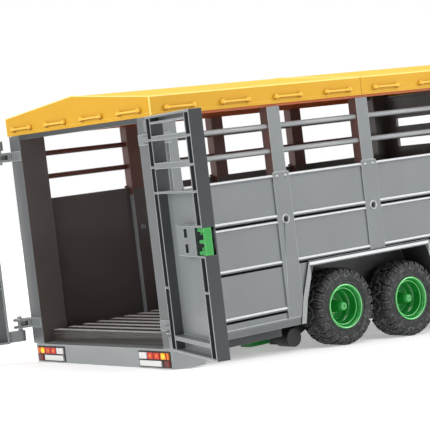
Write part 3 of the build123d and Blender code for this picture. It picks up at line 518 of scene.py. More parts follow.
class Palette:
    """Every finish of the trailer."""

    BODY = ((0.178, 0.192, 0.197), (0.74, 0.77, 0.78), 0.85, 0.10, 0.34, 0.10, 0.10, Bump.SATIN)
    MOULDED = (
        MouldedFinish("roof_plastic", (0.60, 0.325, 0.022), (0.98, 0.70, 0.16), 0.6, 0.04, 0.5, 0.06, 0.0,
                      Bump.SATIN, (ROOF_UNDERSIDE_SHADE, ROOF_INNER_WALL_SHADE, ROOF_TOP_LIGHT), 0.2),
        # Roof edge rims in a lighter yellow: painted highlight.
        MouldedFinish("roof_edge_highlight", (0.90, 0.68, 0.16), (0.98, 0.85, 0.45), 0.4, 0.03, 0.35),
        # The bars' lighter orange is a painted highlight; their undersides carry painted shadow.
        MouldedFinish("roof_bar", (0.80, 0.46, 0.05), (1.0, 0.72, 0.18), 0.5, 0.03, 0.35, 0.06, 0.0,
                      Bump.SATIN, (BAR_UNDERSIDE_SHADOW,), 0.3),
        MouldedFinish("body_plastic", *BODY, (INTERIOR_SHADE, FRONT_INSIDE_SHADE)),
        MouldedFinish("portal_plastic", *BODY, (INTERIOR_SHADE, FRONT_INSIDE_SHADE, PORTAL_BACK_SHADE, HEADER_SHADE)),
        MouldedFinish("bracket_plastic", *BODY, BRACKET_WEB_SHADES),
        MouldedFinish("panel_plastic", *BODY, (INTERIOR_SHADE, SILL_SHADE)),
        MouldedFinish("post_plastic", *BODY, (INTERIOR_SHADE, INTERIOR_TOP_SHADE, POST_BACK_SHADE)),
        # The rails' lighter grey is a painted highlight over the body grey.
        MouldedFinish("rail_plastic", (0.27, 0.28, 0.285), *BODY[1:], (INTERIOR_SHADE, INTERIOR_TOP_SHADE, RAIL_BOTTOM_SHADE)),
        # The bumper's lighter grey is painted light on its rear face.
        MouldedFinish("bumper_plastic", (0.26, 0.275, 0.28), *BODY[1:]),
        # Beads, rivets and hole rings: their pale grey is a painted highlight over the body grey.
        MouldedFinish("bead_plastic", (0.70, 0.72, 0.73), (0.95, 0.96, 0.97), 0.5, 0.03, 0.3, 0.06, 0.1,
                      Bump.SATIN, (BEAD_UNDERSIDE_SHADE,)),
        # A black strip of painted shadow under the beads.
        MouldedFinish("bead_shadow_black", (0.004, 0.004, 0.0045), (0.006, 0.006, 0.007), 0.0, 0.0, 0.9, 0.0,
                      specular=0.05),
        # The top rail's rust colour is the yellow roof plastic in painted shade.
        MouldedFinish("top_rail_plastic", (0.42, 0.085, 0.010), (0.55, 0.16, 0.03), 0.4),
        MouldedFinish("right_leaf_plastic", *BODY, (RIGHT_LEAF_END_SHADE, LATCH_POCKET_SHADE)),
        MouldedFinish("left_leaf_plastic", *BODY, (LEFT_LEAF_END_SHADE,)),
        # The floor's dark base is the painted shade inside the body; the slat tops carry painted light.
        MouldedFinish("floor_plastic", (0.07, 0.058, 0.055), (0.75, 0.75, 0.75), 0.7, 0.15, 0.34, 0.15, 0.0,
                      Bump.SATIN, (SLAT_TOP_LIGHT, SLAT_END_SHADE)),
        MouldedFinish("frame_plastic", (0.055, 0.06, 0.064), (0.30, 0.31, 0.32), 0.5, 0.15, 0.45, 0.12),
        MouldedFinish("black_plastic", (0.018, 0.019, 0.020), (0.12, 0.12, 0.12), 0.4, 0.2, 0.45, 0.12),
        MouldedFinish("arch_plastic", (0.035, 0.036, 0.038), (0.60, 0.62, 0.63), 0.8, 0.15, 0.4, 0.12, 0.0,
                      Bump.SATIN, ARCH_LIP_GREY_AND_HIGHLIGHT),
        MouldedFinish("green_plastic", (0.012, 0.27, 0.036), (0.24, 0.88, 0.30), 0.85, 0.05, 0.22, 0.06, 0.4,
                      Bump.SMOOTH),
        # Light green of the rims' lips: painted highlight.
        MouldedFinish("rim_lip_highlight_plastic", (0.06, 0.50, 0.10), (0.45, 1.0, 0.50), 0.8, 0.04, 0.2, 0.06, 0.5,
                      Bump.SMOOTH),
        MouldedFinish("amber_lens", (0.86, 0.16, 0.0), (1.0, 0.40, 0.02), 0.15, 0.1, 0.25, 0.05, 0.2),
        MouldedFinish("yellow_lens", (1.0, 0.72, 0.0), (1.0, 0.85, 0.1), 0.2, 0.05, 0.25, 0.05, 0.2),
        MouldedFinish("red_lens", (0.60, 0.020, 0.003), (0.9, 0.12, 0.03), 0.15, 0.1, 0.25, 0.05, 0.2,
                      Bump.SMOOTH, (REFLECTOR,)),
        MouldedFinish("clear_lens", (0.72, 0.70, 0.69), (0.9, 0.9, 0.9), 0.2, 0.1, 0.2, 0.05, 0.3),
        MouldedFinish("plate_white", (0.72, 0.73, 0.70), (0.9, 0.9, 0.9), 0.2, 0.04, 0.3, 0.05, 0.3),
        MouldedFinish("pin_steel", (0.32, 0.33, 0.34), (0.8, 0.8, 0.8), 0.5, 0.08, 0.3, 0.15),
    )

    def __init__(self, stance: Stance) -> None:
        """Build the node groups and the materials.

        Args:
            stance: Where the trailer stands.
        """
        groups = SurfaceGroups(moulded_surface(), rubber_surface(), trailer_place(stance), facing_region())
        self.materials = {finish.name: finish.build(groups) for finish in (*self.MOULDED, RubberFinish())}

    def __getitem__(self, name: str) -> bpy.types.Material:
        """The material with that name."""
        return self.materials[name]

    def dress(self, piece: bpy.types.Object, name: str) -> None:
        """Give a piece one finish in all its slots.

        Args:
            piece: The piece.
            name: Name of the finish.
        """
        if not piece.material_slots:
            piece.data.materials.append(self[name])
        for material_slot in piece.material_slots:
            material_slot.material = self[name]


# ---- shapes -----------------------------------------------------------------------------------------


def circle(count: int) -> list[tuple[float, float]]:
    """Cosine and sine of evenly spaced turns round a circle."""
    return [(math.cos(turn), math.sin(turn)) for turn in (2 * math.pi * k / count for k in range(count))]


@dataclass
class Shape:
    """A mesh under construction, in trailer millimetres."""

    points: list[Point] = field(default_factory=list)
    faces: list[tuple[int, ...]] = field(default_factory=list)

    def loft(self, rings: list[list[Point]], closed: bool = False, capped: bool = True) -> "Shape":
        """Skin a row of rings.

        Args:
            rings: Rings with the same number of points each.
            closed: Whether the last ring joins the first.
            capped: Whether the first and last rings are filled in.

        Returns:
            This shape.
        """
        start, size = len(self.points), len(rings[0])
        for ring in rings:
            self.points.extend(ring)
        for i in range(len(rings) if closed else len(rings) - 1):
            low, high = start + i * size, start + (i + 1) % len(rings) * size
            for k in range(size):
                after = (k + 1) % size
                self.faces.append((low + k, low + after, high + after, high + k))
        if capped and not closed:
            self.faces.append(tuple(start + k for k in reversed(range(size))))
            self.faces.append(tuple(start + (len(rings) - 1) * size + k for k in range(size)))
        return self

    def turned(self, profile: list[tuple[float, float]], centre: Point, segments: int = 72) -> "Shape":
        """Turn a closed section about a line along Y.

        Args:
            profile: Radius and distance along Y from the centre, for each corner.
            centre: A point on the line.
            segments: Number of steps round.

        Returns:
            This shape.
        """
        rings = [[(centre[0] + radius * cos, centre[1] + along, centre[2] + radius * sin)
                  for radius, along in profile] for cos, sin in circle(segments)]
        return self.loft(rings, closed=True)

    def block(self, low: Point, high: Point) -> "Shape":
        """Add a box between two corners."""
        (x0, y0, z0), (x1, y1, z1) = low, high
        return self.loft([[(x, y0, z0), (x, y1, z0), (x, y1, z1), (x, y0, z1)] for x in (x0, x1)])

    def tube(self, path: list[Point], radius: float, sides: int = 10) -> "Shape":
        """Add a round bar along a path of points.

        Args:
            path: Points on its centre line.
            radius: Radius of the bar.
            sides: Number of flat sides.

        Returns:
            This shape.
        """
        rings = []
        for i, point in enumerate(path):
            ahead = (Vector(path[min(i + 1, len(path) - 1)]) - Vector(path[max(i - 1, 0)])).normalized()
            across = ahead.cross(Vector((0.0, 0.31, 0.95))).normalized()
            up = ahead.cross(across)
            rings.append([tuple(Vector(point) + radius * (across * cos + up * sin))
                          for cos, sin in circle(sides)])
        return self.loft(rings)

    def ball(self, centre: Point, radius: float, layers: int = 8) -> "Shape":
        """Add a ball.

        Args:
            centre: Its centre.
            radius: Its radius.
            layers: Steps from pole to pole.

        Returns:
            This shape.
        """
        rings = []
        for i in range(1, layers):
            angle = math.pi * i / layers
            span, drop = radius * math.sin(angle), radius * math.cos(angle)
            rings.append([(centre[0] + span * cos, centre[1] + span * sin, centre[2] - drop)
                          for cos, sin in circle(14)])
        return self.loft(rings)

    def dome(self, centre: Point, axis: Point, radius: float, height: float, rings: int = 4) -> "Shape":
        """Add a domed button that stands out along an axis.

        Args:
            centre: Middle of its foot.
            axis: Direction that it stands out in.
            radius: Radius of its foot.
            height: How far it stands out.
            rings: Steps from foot to top.

        Returns:
            This shape.
        """
        out = Vector(axis).normalized()
        across = out.orthogonal().normalized()
        up = out.cross(across)
        layers = []
        for i in range(rings + 1):
            tilt = 0.5 * math.pi * i / (rings + 0.35)
            span, lift = radius * math.cos(tilt), height * math.sin(tilt)
            layers.append([tuple(Vector(centre) + out * lift + across * span * cos + up * span * sin)
                           for cos, sin in circle(20)])
        return self.loft(layers)

    def mesh(self, name: str, stance: Stance, moved: bool = True) -> bpy.types.Mesh:
        """Make the mesh, in the row's metres.

        Args:
            name: Name of the mesh.
            stance: Where the trailer stands.
            moved: False to turn and scale the points but leave them about the origin.

        Returns:
            A mesh whose faces look outwards.
        """
        matrix = stance.matrix if moved else stance.matrix.to_3x3().to_4x4()
        data = bpy.data.meshes.new(name)
        data.from_pydata([matrix @ Vector(p) for p in self.points], [], self.faces)
        work = bmesh.new()
        work.from_mesh(data)
        bmesh.ops.recalc_face_normals(work, faces=work.faces)
        work.to_mesh(data)
        work.free()
        return data


SMOOTH_ANGLE = 35.0


def soften(piece: bpy.types.Object, radius: float, angle: float = SMOOTH_ANGLE) -> bpy.types.Modifier:
    """Round a piece's edges.

    Args:
        piece: The piece.
        radius: Width of the rounding in millimetres.
        angle: Smallest angle in degrees between faces whose edge is rounded.

    Returns:
        The modifier.
    """
    edges = piece.modifiers.new("soft_edges", "BEVEL")
    edges.width = radius * MM
    edges.segments = 2
    edges.limit_method = "ANGLE"
    edges.angle_limit = math.radians(angle)
    return edges


class Repeater:
    """Geometry Nodes that copy one shape round a line along Y, or along a straight row."""

    def __init__(self) -> None:
        """Build both node groups."""
        self.ring = self.build_group("ring_repeat", ring=True)
        self.row = self.build_group("row_repeat", ring=False)

    @staticmethod
    def build_group(name: str, ring: bool) -> bpy.types.NodeTree:
        """Build one repeating group.

        Args:
            name: Name of the group.
            ring: True to copy round a line, False to copy along a row.

        Returns:
            The node group.
        """
        group = bpy.data.node_groups.new(name, "GeometryNodeTree")
        for label, kind in (("Shape", "Geometry"), ("Count", "Int"), ("Start", "Vector"),
                            ("Step", "Vector"), ("Unevenness", "Float"), ("Seed", "Int"),
                            ("Finish", "Material")):
            group.interface.new_socket(label, in_out="INPUT", socket_type=f"NodeSocket{kind}")
        group.interface.new_socket("Copies", in_out="OUTPUT", socket_type="NodeSocketGeometry")
        node = group.nodes.new
        link = group.links.new
        given = node("NodeGroupInput").outputs
        line = node("GeometryNodeMeshLine")
        link(given["Count"], line.inputs["Count"])
        link(given["Start"], line.inputs["Start Location"])
        copies = node("GeometryNodeInstanceOnPoints")
        link(line.outputs["Mesh"], copies.inputs["Points"])
        link(given["Shape"], copies.inputs["Instance"])
        if ring:
            turn = node("ShaderNodeVectorMath")
            turn.operation = "SCALE"
            link(given["Step"], turn.inputs[0])
            link(node("GeometryNodeInputIndex").outputs["Index"], turn.inputs["Scale"])
            link(turn.outputs[0], copies.inputs["Rotation"])
            line.inputs["Offset"].default_value = (0.0, 0.0, 0.0)
        else:
            link(given["Step"], line.inputs["Offset"])
        uneven = node("FunctionNodeRandomValue")
        uneven.data_type = "FLOAT"
        link(given["Seed"], uneven.inputs["Seed"])
        less = node("ShaderNodeMath")
        less.operation = "SUBTRACT"
        less.inputs[0].default_value = 1.0
        link(given["Unevenness"], less.inputs[1])
        minimum, maximum = (next(i for i in uneven.inputs if i.name == label and i.type == "VALUE")
                            for label in ("Min", "Max"))
        link(less.outputs[0], minimum)
        maximum.default_value = 1.0
        value = next(o for o in uneven.outputs if o.type == "VALUE")
        link(value, copies.inputs["Scale"])
        real = node("GeometryNodeRealizeInstances")
        link(copies.outputs["Instances"], real.inputs["Geometry"])
        finish = node("GeometryNodeSetMaterial")
        link(real.outputs["Geometry"], finish.inputs["Geometry"])
        link(given["Finish"], finish.inputs["Material"])
        link(finish.outputs["Geometry"], node("NodeGroupOutput").inputs["Copies"])
        return group

    @staticmethod
    def copies(group: bpy.types.NodeTree, shape: bpy.types.Mesh, count: int, start: Vector, step: Vector,
               finish: bpy.types.Material, unevenness: float = 0.0, seed: int = 7) -> bpy.types.Mesh:
        """Copy a shape with one of the groups.

        Args:
            group: The ring or the row group.
            shape: The shape, built about the origin.
            count: Number of copies.
            start: Where the first copy, or the ring's centre, stands.
            step: Turn in radians, or move in metres, from one copy to the next.
            finish: Material of the copies.
            unevenness: How much smaller the smallest copy may be, as a share.
            seed: Seed of the unevenness.

        Returns:
            One mesh of all copies.
        """
        worker = bpy.data.objects.new("repeat_worker", shape)
        bpy.context.collection.objects.link(worker)
        modifier = worker.modifiers.new("repeat", "NODES")
        modifier.node_group = group
        values = {"Count": count, "Start": tuple(start), "Step": tuple(step), "Unevenness": unevenness,
                  "Seed": seed, "Finish": finish}
        for item in group.interface.items_tree:
            if item.in_out == "INPUT" and item.name in values:
                modifier[item.identifier] = values[item.name]
        worker.update_tag()
        graph = bpy.context.evaluated_depsgraph_get()
        graph.update()
        result = bpy.data.meshes.new_from_object(worker.evaluated_get(graph))
        worker.modifiers.remove(modifier)
        bpy.data.objects.remove(worker)
        return result


@dataclass
class Workshop:
    """What every sub-assembly needs to make its pieces."""

    stance: Stance
    palette: Palette
    repeater: Repeater

    def ring(self, shape: Shape, count: int, centre: Vector, finish: str, unevenness: float = 0.0,
             seed: int = 7) -> tuple[bpy.types.Mesh, str]:
        """Copies of a shape round a line along Y.

        Args:
            shape: The shape, drawn about the line.
            count: Number of copies.
            centre: Row position of a point on the line.
            finish: Name of the copies' finish.
            unevenness: How much smaller the smallest copy may be, as a share.
            seed: Seed of the unevenness.

        Returns:
            The mesh of all copies, with its finish.
        """
        step = Vector((0.0, math.radians(360.0 / count), 0.0))
        mesh = shape.mesh("repeated", self.stance, moved=False)
        copies = self.repeater.copies(self.repeater.ring, mesh, count, centre, step, self.palette[finish],
                                      unevenness, seed)
        return copies, finish

    def row(self, shape: Shape, count: int, first: Point, step: Point,
            finish: str) -> tuple[bpy.types.Mesh, str]:
        """Copies of a shape along a straight row.

        Args:
            shape: The shape, drawn about the origin.
            count: Number of copies.
            first: Where the first copy stands, in trailer millimetres.
            step: From one copy to the next, in trailer millimetres.
            finish: Name of the copies' finish.

        Returns:
            The mesh of all copies, with its finish.
        """
        mesh = shape.mesh("repeated", self.stance, moved=False)
        copies = self.repeater.copies(self.repeater.row, mesh, count, self.stance.place(first),
                                      self.stance.matrix.to_3x3() @ Vector(step), self.palette[finish])
        return copies, finish

    def piece(self, name: str, body: str, parts: list[tuple[bpy.types.Mesh, str]], slot: str,
              replaces: tuple[str, ...] = (), smooth_angle: float = SMOOTH_ANGLE,
              bevel: float = 0.0) -> bpy.types.Object:
        """Join meshes into one piece that rides on a body.

        Args:
            name: Name of the piece.
            body: Body that it rides on.
            parts: Meshes with the finish of each.
            slot: Material slot meant for the piece; not used.
            replaces: Carried nodes that it takes the place of.
            smooth_angle: Largest angle in degrees that is shaded smooth.
            bevel: Width of its rounded edges in millimetres, or 0.

        Returns:
            The piece.
        """
        work = bmesh.new()
        finishes: list[str] = []
        for mesh, finish in parts:
            if finish not in finishes:
                finishes.append(finish)
            before = len(work.faces)
            work.from_mesh(mesh)
            work.faces.ensure_lookup_table()
            for face in work.faces[before:]:
                face.material_index = finishes.index(finish)
                face.smooth = True
        data = bpy.data.meshes.new(name)
        work.to_mesh(data)
        work.free()
        for finish in finishes:
            data.materials.append(self.palette[finish])
        data.set_sharp_from_angle(angle=math.radians(smooth_angle))
        piece = bpy.data.objects.new(name, data)
        bpy.context.collection.objects.link(piece)
        if bevel:
            soften(piece, bevel, smooth_angle)
        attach(piece, body)
        if replaces:
            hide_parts(*replaces)
        LOG.info("%s rides on %s: %d faces", name, body, len(data.polygons))
        return piece


# ---- wheels -----------------------------------------------------------------------------------------


@dataclass
class Wheel:
    """One wheel: a lugged tyre, and bolts and rings on its rim.

    Distances across are counted outwards, from the tyre's middle unless they say otherwise.
    """

    shop: Workshop
    side: str
    axle: str
    radius: float = 25.0
    rim_radius: float = 14.2
    half_width: float = 9.75
    middle: float = 67.35
    disc_face: float = 63.9
    cap_face: float = 74.6
    lug_pairs: int = 14
    lug_unevenness: float = 0.004
    lug_taper: float = 0.10
    taper_depth: float = 1.6
    tread_skew: float = 0.35
    bolts: int = 6
    bolt_circle: float = 5.6
    bolt_radius: float = 0.75
    hole_circle: float = 8.0
    hole_radius: float = 0.6
    collar_rise: float = 0.5
    lips: tuple[Point, ...] = ((13.75, 0.75, 0.55), (11.6, 3.4, 0.3))

    def build(self) -> None:
        """Make this wheel's pieces."""
        body = f"{self.side}_{self.axle}_wheel"
        joint = next(j for j in frame["record"]["behaviour"]["joints"] if j["name"] == f"{body}_spin")
        self.centre = Vector(joint["pos_m"])
        self.out = 1 if self.side == "left" else -1
        self.add_tyre(body)
        self.add_bolts(body)

    def turned(self, profile: list[tuple[float, float]], segments: int = 72) -> bpy.types.Mesh:
        """Mesh of a section turned about the wheel's own line."""
        mesh = Shape().turned(profile, (0, 0, 0), segments).mesh("turned", self.shop.stance, moved=False)
        mesh.transform(Matrix.Translation(self.centre))
        return mesh

    def collar(self, inner: float, outer: float, foot: float, narrowing: tuple[float, float],
               segments: int = 72) -> tuple[bpy.types.Mesh, str]:
        """A low green ring with sloping flanks.

        Args:
            inner: Radius of its hole at the foot.
            outer: Radius of its rim at the foot.
            foot: Distance across of its foot.
            narrowing: How far the hole widens and the rim narrows towards the top.
            segments: Number of steps round.

        Returns:
            The ring's mesh, with its finish.
        """
        low, high = self.out * foot, self.out * (foot + self.collar_rise)
        section = [(inner, low), (outer, low), (outer - narrowing[1], high), (inner + narrowing[0], high)]
        return self.turned(section, segments), "green_plastic"

    def lug(self, section: list[tuple[float, float]], half_angle: float, skew: float, turn: float,
            flip: int) -> Shape:
        """One tread block.

        Args:
            section: Radius and distance across for each corner.
            half_angle: Half of the block's length round the tyre, in degrees.
            skew: Turn in degrees per millimetre outwards.
            turn: Turn of the whole block in degrees.
            flip: 1 for the outer half of the tread, -1 for the inner.

        Returns:
            The block, about the wheel's centre.
        """
        rings = []
        for end in (-1, 1):
            ring = []
            for radius, across in section:
                depth = max(0.0, radius - self.radius + self.taper_depth)
                narrower = 1.0 - self.lug_taper * depth / self.taper_depth
                angle = math.radians(turn + skew * across + end * half_angle * narrower)
                ring.append((radius * math.cos(angle), flip * self.out * across, radius * math.sin(angle)))
            rings.append(ring)
        return Shape().loft(rings)

    def carcass(self) -> bpy.types.Mesh:
        """The tyre without its tread blocks, with ringed sidewalls."""
        top, rim, half = self.radius, self.rim_radius, self.half_width
        outer = [(rim + up, half - inwards) for up, inwards in (
            (0.0, 1.5), (0.5, 0.7), (1.3, 0.5), (1.6, 0.9), (2.2, 0.9), (2.5, 0.35), (4.4, 0.05), (4.9, 0.05),
            (5.1, 0.4), (5.8, 0.45), (6.1, 0.15), (7.0, 0.5))]
        outer += [(top - down, half - inwards) for down, inwards in ((2.4, 1.5), (1.5, 3.4), (1.35, 6.0))]
        return self.turned(outer + [(radius, -across) for radius, across in reversed(outer)], 96)

    def add_tyre(self, body: str) -> None:
        """Carcass, and four rows of tread blocks.

        Args:
            body: Body that they ride on.
        """
        long_block, short_block, middle_block = (
            [(self.radius - down, across) for down, across in corners] for corners in (
                ((2.2, 4.3), (0.05, 4.6), (0.1, 7.4), (1.2, 9.2), (3.6, 9.8), (5.2, 9.85), (5.4, 9.2),
                 (2.8, 8.6)),
                ((2.2, 5.0), (0.05, 5.3), (0.1, 7.6), (1.2, 9.3), (2.9, 9.75), (3.3, 9.2), (2.6, 8.4)),
                ((2.2, 0.3), (0.05, 0.6), (0.05, 4.3), (2.2, 4.6))))
        pitch = 360.0 / self.lug_pairs
        lugs = [self.lug(block, half * pitch, skew, start + turn * pitch, flip)
                for flip, start in ((1, 0.0), (-1, pitch / 4))
                for block, half, skew, turn in (
                    (long_block, 0.20, self.tread_skew, 0.0), (short_block, 0.15, self.tread_skew, 0.48),
                    (middle_block, 0.19, -1.4, 0.34), (middle_block, 0.17, 1.6, 0.80))]
        parts = [(self.carcass(), "tyre_rubber")]
        parts += [self.shop.ring(lug, self.lug_pairs, self.centre, "tyre_rubber", self.lug_unevenness, number)
                  for number, lug in enumerate(lugs)]
        self.shop.piece(f"{self.side}_{self.axle}_lugged_tyre", body, parts, "tyre_rubber",
                        replaces=(f"{self.side}_{self.axle}_tyre",), smooth_angle=30, bevel=0.16)

    def add_bolts(self, body: str) -> None:
        """Bolt heads and drain holes on the dish, and raised rings round the hub, the cap and the rim.

        Args:
            body: Body that they ride on.
        """
        out = self.out
        disc = self.disc_face - self.middle
        away = (0, out, 0)
        bolt = Shape().dome((self.bolt_circle, out * disc, 0), away, self.bolt_radius, self.bolt_radius)
        hole = Shape().dome((self.hole_circle, out * (disc - 0.02), 0), away, self.hole_radius, 0.06)
        parts = [self.shop.ring(bolt, self.bolts, self.centre, "green_plastic"),
                 self.shop.ring(hole, self.bolts, self.centre, "black_plastic"),
                 self.collar(3.9, 5.0, disc, (0.3, 0.2))]
        # Lips of the rim, in a painted highlight green.
        for radius, inset, thick in self.lips:
            lip = [(radius + thick * cos, out * (self.half_width - inset + thick * sin))
                   for cos, sin in circle(8)]
            parts.append((self.turned(lip), "rim_lip_highlight_plastic"))
        parts.append(self.collar(1.1, 2.1, self.cap_face - self.middle, (0.2, 0.2), 32))
        self.shop.piece(f"{self.side}_{self.axle}_rim_bolts", body, parts, "green_plastic")


# ---- roof -------------------------------------------------------------------------------------------


@dataclass
class RoofHalf:
    """Ball-ended lashing bars and the raised edges of one roof half."""

    shop: Workshop
    body: str
    start: float
    end: float
    face: float
    outward: int
    half_width: float = 80.0
    bar_height: float = 153.0
    bar_length: float = 20.0
    bar_count: int = 4
    eaves: float = 160.4
    ridge: float = 168.0
    edge: float = 149.0
    stand_off: float = 1.25
    bar_radius: float = 0.85
    ball_radius: float = 1.75
    foot_radius: float = 1.15
    foot_depth: float = 0.4
    inset: float = 0.35
    rim_radius: float = 0.5
    corner_radius: float = 0.45
    line_radius: float = 0.32
    line_inset: float = 0.12

    def build(self) -> None:
        """Make this half's pieces."""
        self.add_bars()
        self.add_edges()

    def bar(self, along: Point, out: Point) -> Shape:
        """One ball-ended bar about the origin, standing off the roof's face.

        Args:
            along: Direction of the bar.
            out: Direction away from the roof.

        Returns:
            The bar.
        """
        reach, away = Vector(along) * self.bar_length / 2, Vector(out) * self.stand_off
        shape = Shape().tube([tuple(away - reach), tuple(away + reach)], self.bar_radius)
        for end in (-1, 1):
            shape.ball(tuple(away + end * reach), self.ball_radius)
            foot = end * reach - Vector(out) * self.foot_depth
            shape.tube([tuple(foot), tuple(end * reach + away)], self.foot_radius)
        return shape

    def add_bars(self) -> None:
        """Rows of bars down both sides and across the end."""
        half, height, count = self.half_width, self.bar_height, self.bar_count
        pitch = (self.end - self.start) / count
        parts = [self.shop.row(self.bar((1, 0, 0), (0, side, 0)), count,
                               (self.start + pitch / 2, side * half, height), (pitch, 0, 0), "roof_bar")
                 for side in (-1, 1)]
        pitch = 2 * half / count
        parts.append(self.shop.row(self.bar((0, 1, 0), (self.outward, 0, 0)), count,
                                   (self.face, pitch / 2 - half, height), (0, pitch, 0), "roof_bar"))
        self.shop.piece(f"{self.body}_ball_bars", self.body, parts, "roof_plastic",
                        replaces=(f"{self.body.split('_')[0]}_lashing_bars",))

    def add_edges(self) -> None:
        """Rounded rims where the roof's planes meet, in a painted highlight yellow, and the line round its
        lower edge.
        """
        half, low, top = self.half_width, self.edge + 1.9, self.eaves
        rims, line = Shape(), Shape()
        for side in (-1, 1):
            y = side * (half - self.inset)
            rims.tube([(self.start + 0.6, y, top), (self.end - 0.6, y, top)], self.rim_radius)
            y = side * (half - self.line_inset)
            line.tube([(self.start + 0.4, y, low), (self.end - 0.4, y, low)], self.line_radius)
        for x in (self.start + 0.55, self.end - 0.55):
            rims.tube([(x, self.inset - half, top), (x, 0, self.ridge), (x, half - self.inset, top)],
                      self.rim_radius)
        x = self.face - self.outward * self.line_inset
        line.tube([(x, -half + 0.4, low), (x, half - 0.4, low)], self.line_radius)
        x = self.face - self.outward * self.inset
        for side in (-1, 1):
            y = side * (half - self.inset)
            rims.tube([(x, y, self.edge + 0.6), (x, y, top)], self.corner_radius)
        stance = self.shop.stance
        self.shop.piece(f"{self.body}_edges", self.body,
                        [(rims.mesh("rims", stance), "roof_edge_highlight"),
                         (line.mesh("lip_line", stance), "roof_plastic")], "roof_plastic")


# ---- body details -----------------------------------------------------------------------------------


@dataclass
class BodyDetails:
    """Rivets, hole rings and beads on the side walls, and the moulded lens shapes of the lamps."""

    shop: Workshop
    wall: float = 78.0
    plate_face: float = 79.0
    lens_face: float = -1.7
    posts: tuple[float, ...] = (94.75, 170.5, 246.25)
    post_half: float = 6.75
    arch_posts: tuple[float, ...] = (94.75, 170.5)
    arch: tuple[float, float] = (99.8, 226.2)
    arch_top: float = 50.0
    rivet_heights: tuple[float, ...] = (104.2, 49.1, 22.0)
    rivet_spacing: float = 6.8
    rivet_radius: float = 1.0
    rivet_rise: float = 0.75
    hole_ring: tuple[tuple[float, float], ...] = ((2.1, 0.0), (3.1, 0.0), (2.9, 0.45), (2.2, 0.45))
    hole_height: float = 77.5
    bays_start: float = 19.0
    bays_end: float = 322.0
    bead_heights: tuple[float, ...] = (104.4, 79.6, 75.8, 51.1, 22.4)
    bead_radius: float = 1.2
    bead_rise: float = 1.05
    thin_bead: float = 0.98
    lower_bead: float = 75.8
    # Beads with a strip of painted shadow under them, and the strip's drop below each to its bottom and top.
    shadowed_beads: tuple[float, ...] = (79.6, 51.1, 22.4)
    shadow_band: tuple[float, float] = (2.55, 0.9)
    lamp_height: float = 7.85
    indicator: float = 66.0
    # Where the painted glow sits in each tail lens.
    glow_centres: tuple[float, ...] = (59.6, 53.2)
    plate_sides: tuple[float, float] = (41.9, 64.1)
    plate_edges: tuple[float, float] = (1.5, 5.1)
    plate_line: float = 0.16

    def build(self) -> None:
        """Make the details' pieces."""
        self.add_rivets()
        self.add_beads()
        self.add_lenses()

    def add_rivets(self) -> None:
        """Pairs of domed rivets, and a raised ring round each post's hole."""
        parts = []
        rings = Shape()
        for side in (-1, 1):
            rivet = Shape().dome((0, 0, 0), (0, side, 0), self.rivet_radius, self.rivet_rise)
            face = side * self.plate_face
            section = [(radius, face + side * rise) for radius, rise in self.hole_ring]
            for x in self.posts:
                for z in self.rivet_heights:
                    if z < self.arch_top and x in self.arch_posts:
                        continue
                    first = (x - self.rivet_spacing / 2, face, z)
                    # Rivets and hole rings take the painted highlight of the beads.
                    parts.append(self.shop.row(rivet, 2, first, (self.rivet_spacing, 0, 0), "bead_plastic"))
                rings.turned(section, (x, 0, self.hole_height), 32)
        parts.append((rings.mesh("hole_rings", self.shop.stance), "bead_plastic"))
        self.shop.piece("post_rivets", "root", parts, "body_plastic", replaces=("side_rivets",))

    def bays(self, height: float) -> list[tuple[float, float]]:
        """Stretches of the side wall between the posts, and clear of the wheel arch.

        Args:
            height: Height on the wall.

        Returns:
            Start and end of each stretch.
        """
        starts = [self.bays_start] + [x + self.post_half for x in self.posts]
        ends = [x - self.post_half for x in self.posts] + [self.bays_end]
        stretches = list(zip(starts, ends))
        if height > self.arch_top:
            return stretches
        rear, front = self.arch
        clear = [(start, min(end, rear)) for start, end in stretches if start < rear]
        return clear + [(max(start, front), end) for start, end in stretches if end > front]

    def add_beads(self) -> None:
        """Round beads along the side walls in a painted highlight grey, some with a strip of painted shadow
        under them.
        """
        beads, bead_shadows = Shape(), Shape()
        for side in (-1, 1):
            low, high = sorted((side * (self.wall - 0.2), side * (self.wall + 0.08)))
            for z in self.bead_heights:
                radius = self.thin_bead if z == self.lower_bead else self.bead_radius
                line = side * (self.wall + self.bead_rise - radius)
                for start, end in self.bays(z):
                    rear, front = start + 0.1, end - 0.1
                    beads.tube([(rear, line, z), (front, line, z)], radius, 20)
                    if z in self.shadowed_beads:
                        bottom, top = (z - drop for drop in self.shadow_band)
                        bead_shadows.block((rear, low, bottom), (front, high, top))
        stance = self.shop.stance
        parts = [(beads.mesh("beads", stance), "bead_plastic"),
                 (bead_shadows.mesh("bead_shadows", stance), "bead_shadow_black")]
        self.shop.piece("side_beads", "root", parts, "body_plastic")

    def add_lenses(self) -> None:
        """Round indicators, a painted glow in the middle of each tail lens, and frames of the plates."""
        domes, glow_centres, frames = Shape(), Shape(), Shape()
        rear, face = (-1, 0, 0), self.lens_face
        for side in (-1, 1):
            domes.dome((face + 0.05, side * self.indicator, self.lamp_height), rear, 1.95, 0.5)
            for y in self.glow_centres:
                glow_centres.dome((face + 0.05, side * y, self.lamp_height), rear, 1.1, 0.3)
            for y in self.plate_sides:
                frames.tube([(face, side * y, z) for z in self.plate_edges], self.plate_line, 6)
            for z in self.plate_edges:
                frames.tube([(face, side * y, z) for y in self.plate_sides], self.plate_line, 6)
        for name, shape, finish, slot in (("indicator_domes", domes, "yellow_lens", "amber_lens"),
                                          ("tail_glow_domes", glow_centres, "amber_lens", "red_lens"),
                                          ("plate_frames", frames, "frame_plastic", "black_plastic")):
            self.shop.piece(name, "root", [(shape.mesh(name, self.shop.stance), finish)], slot)


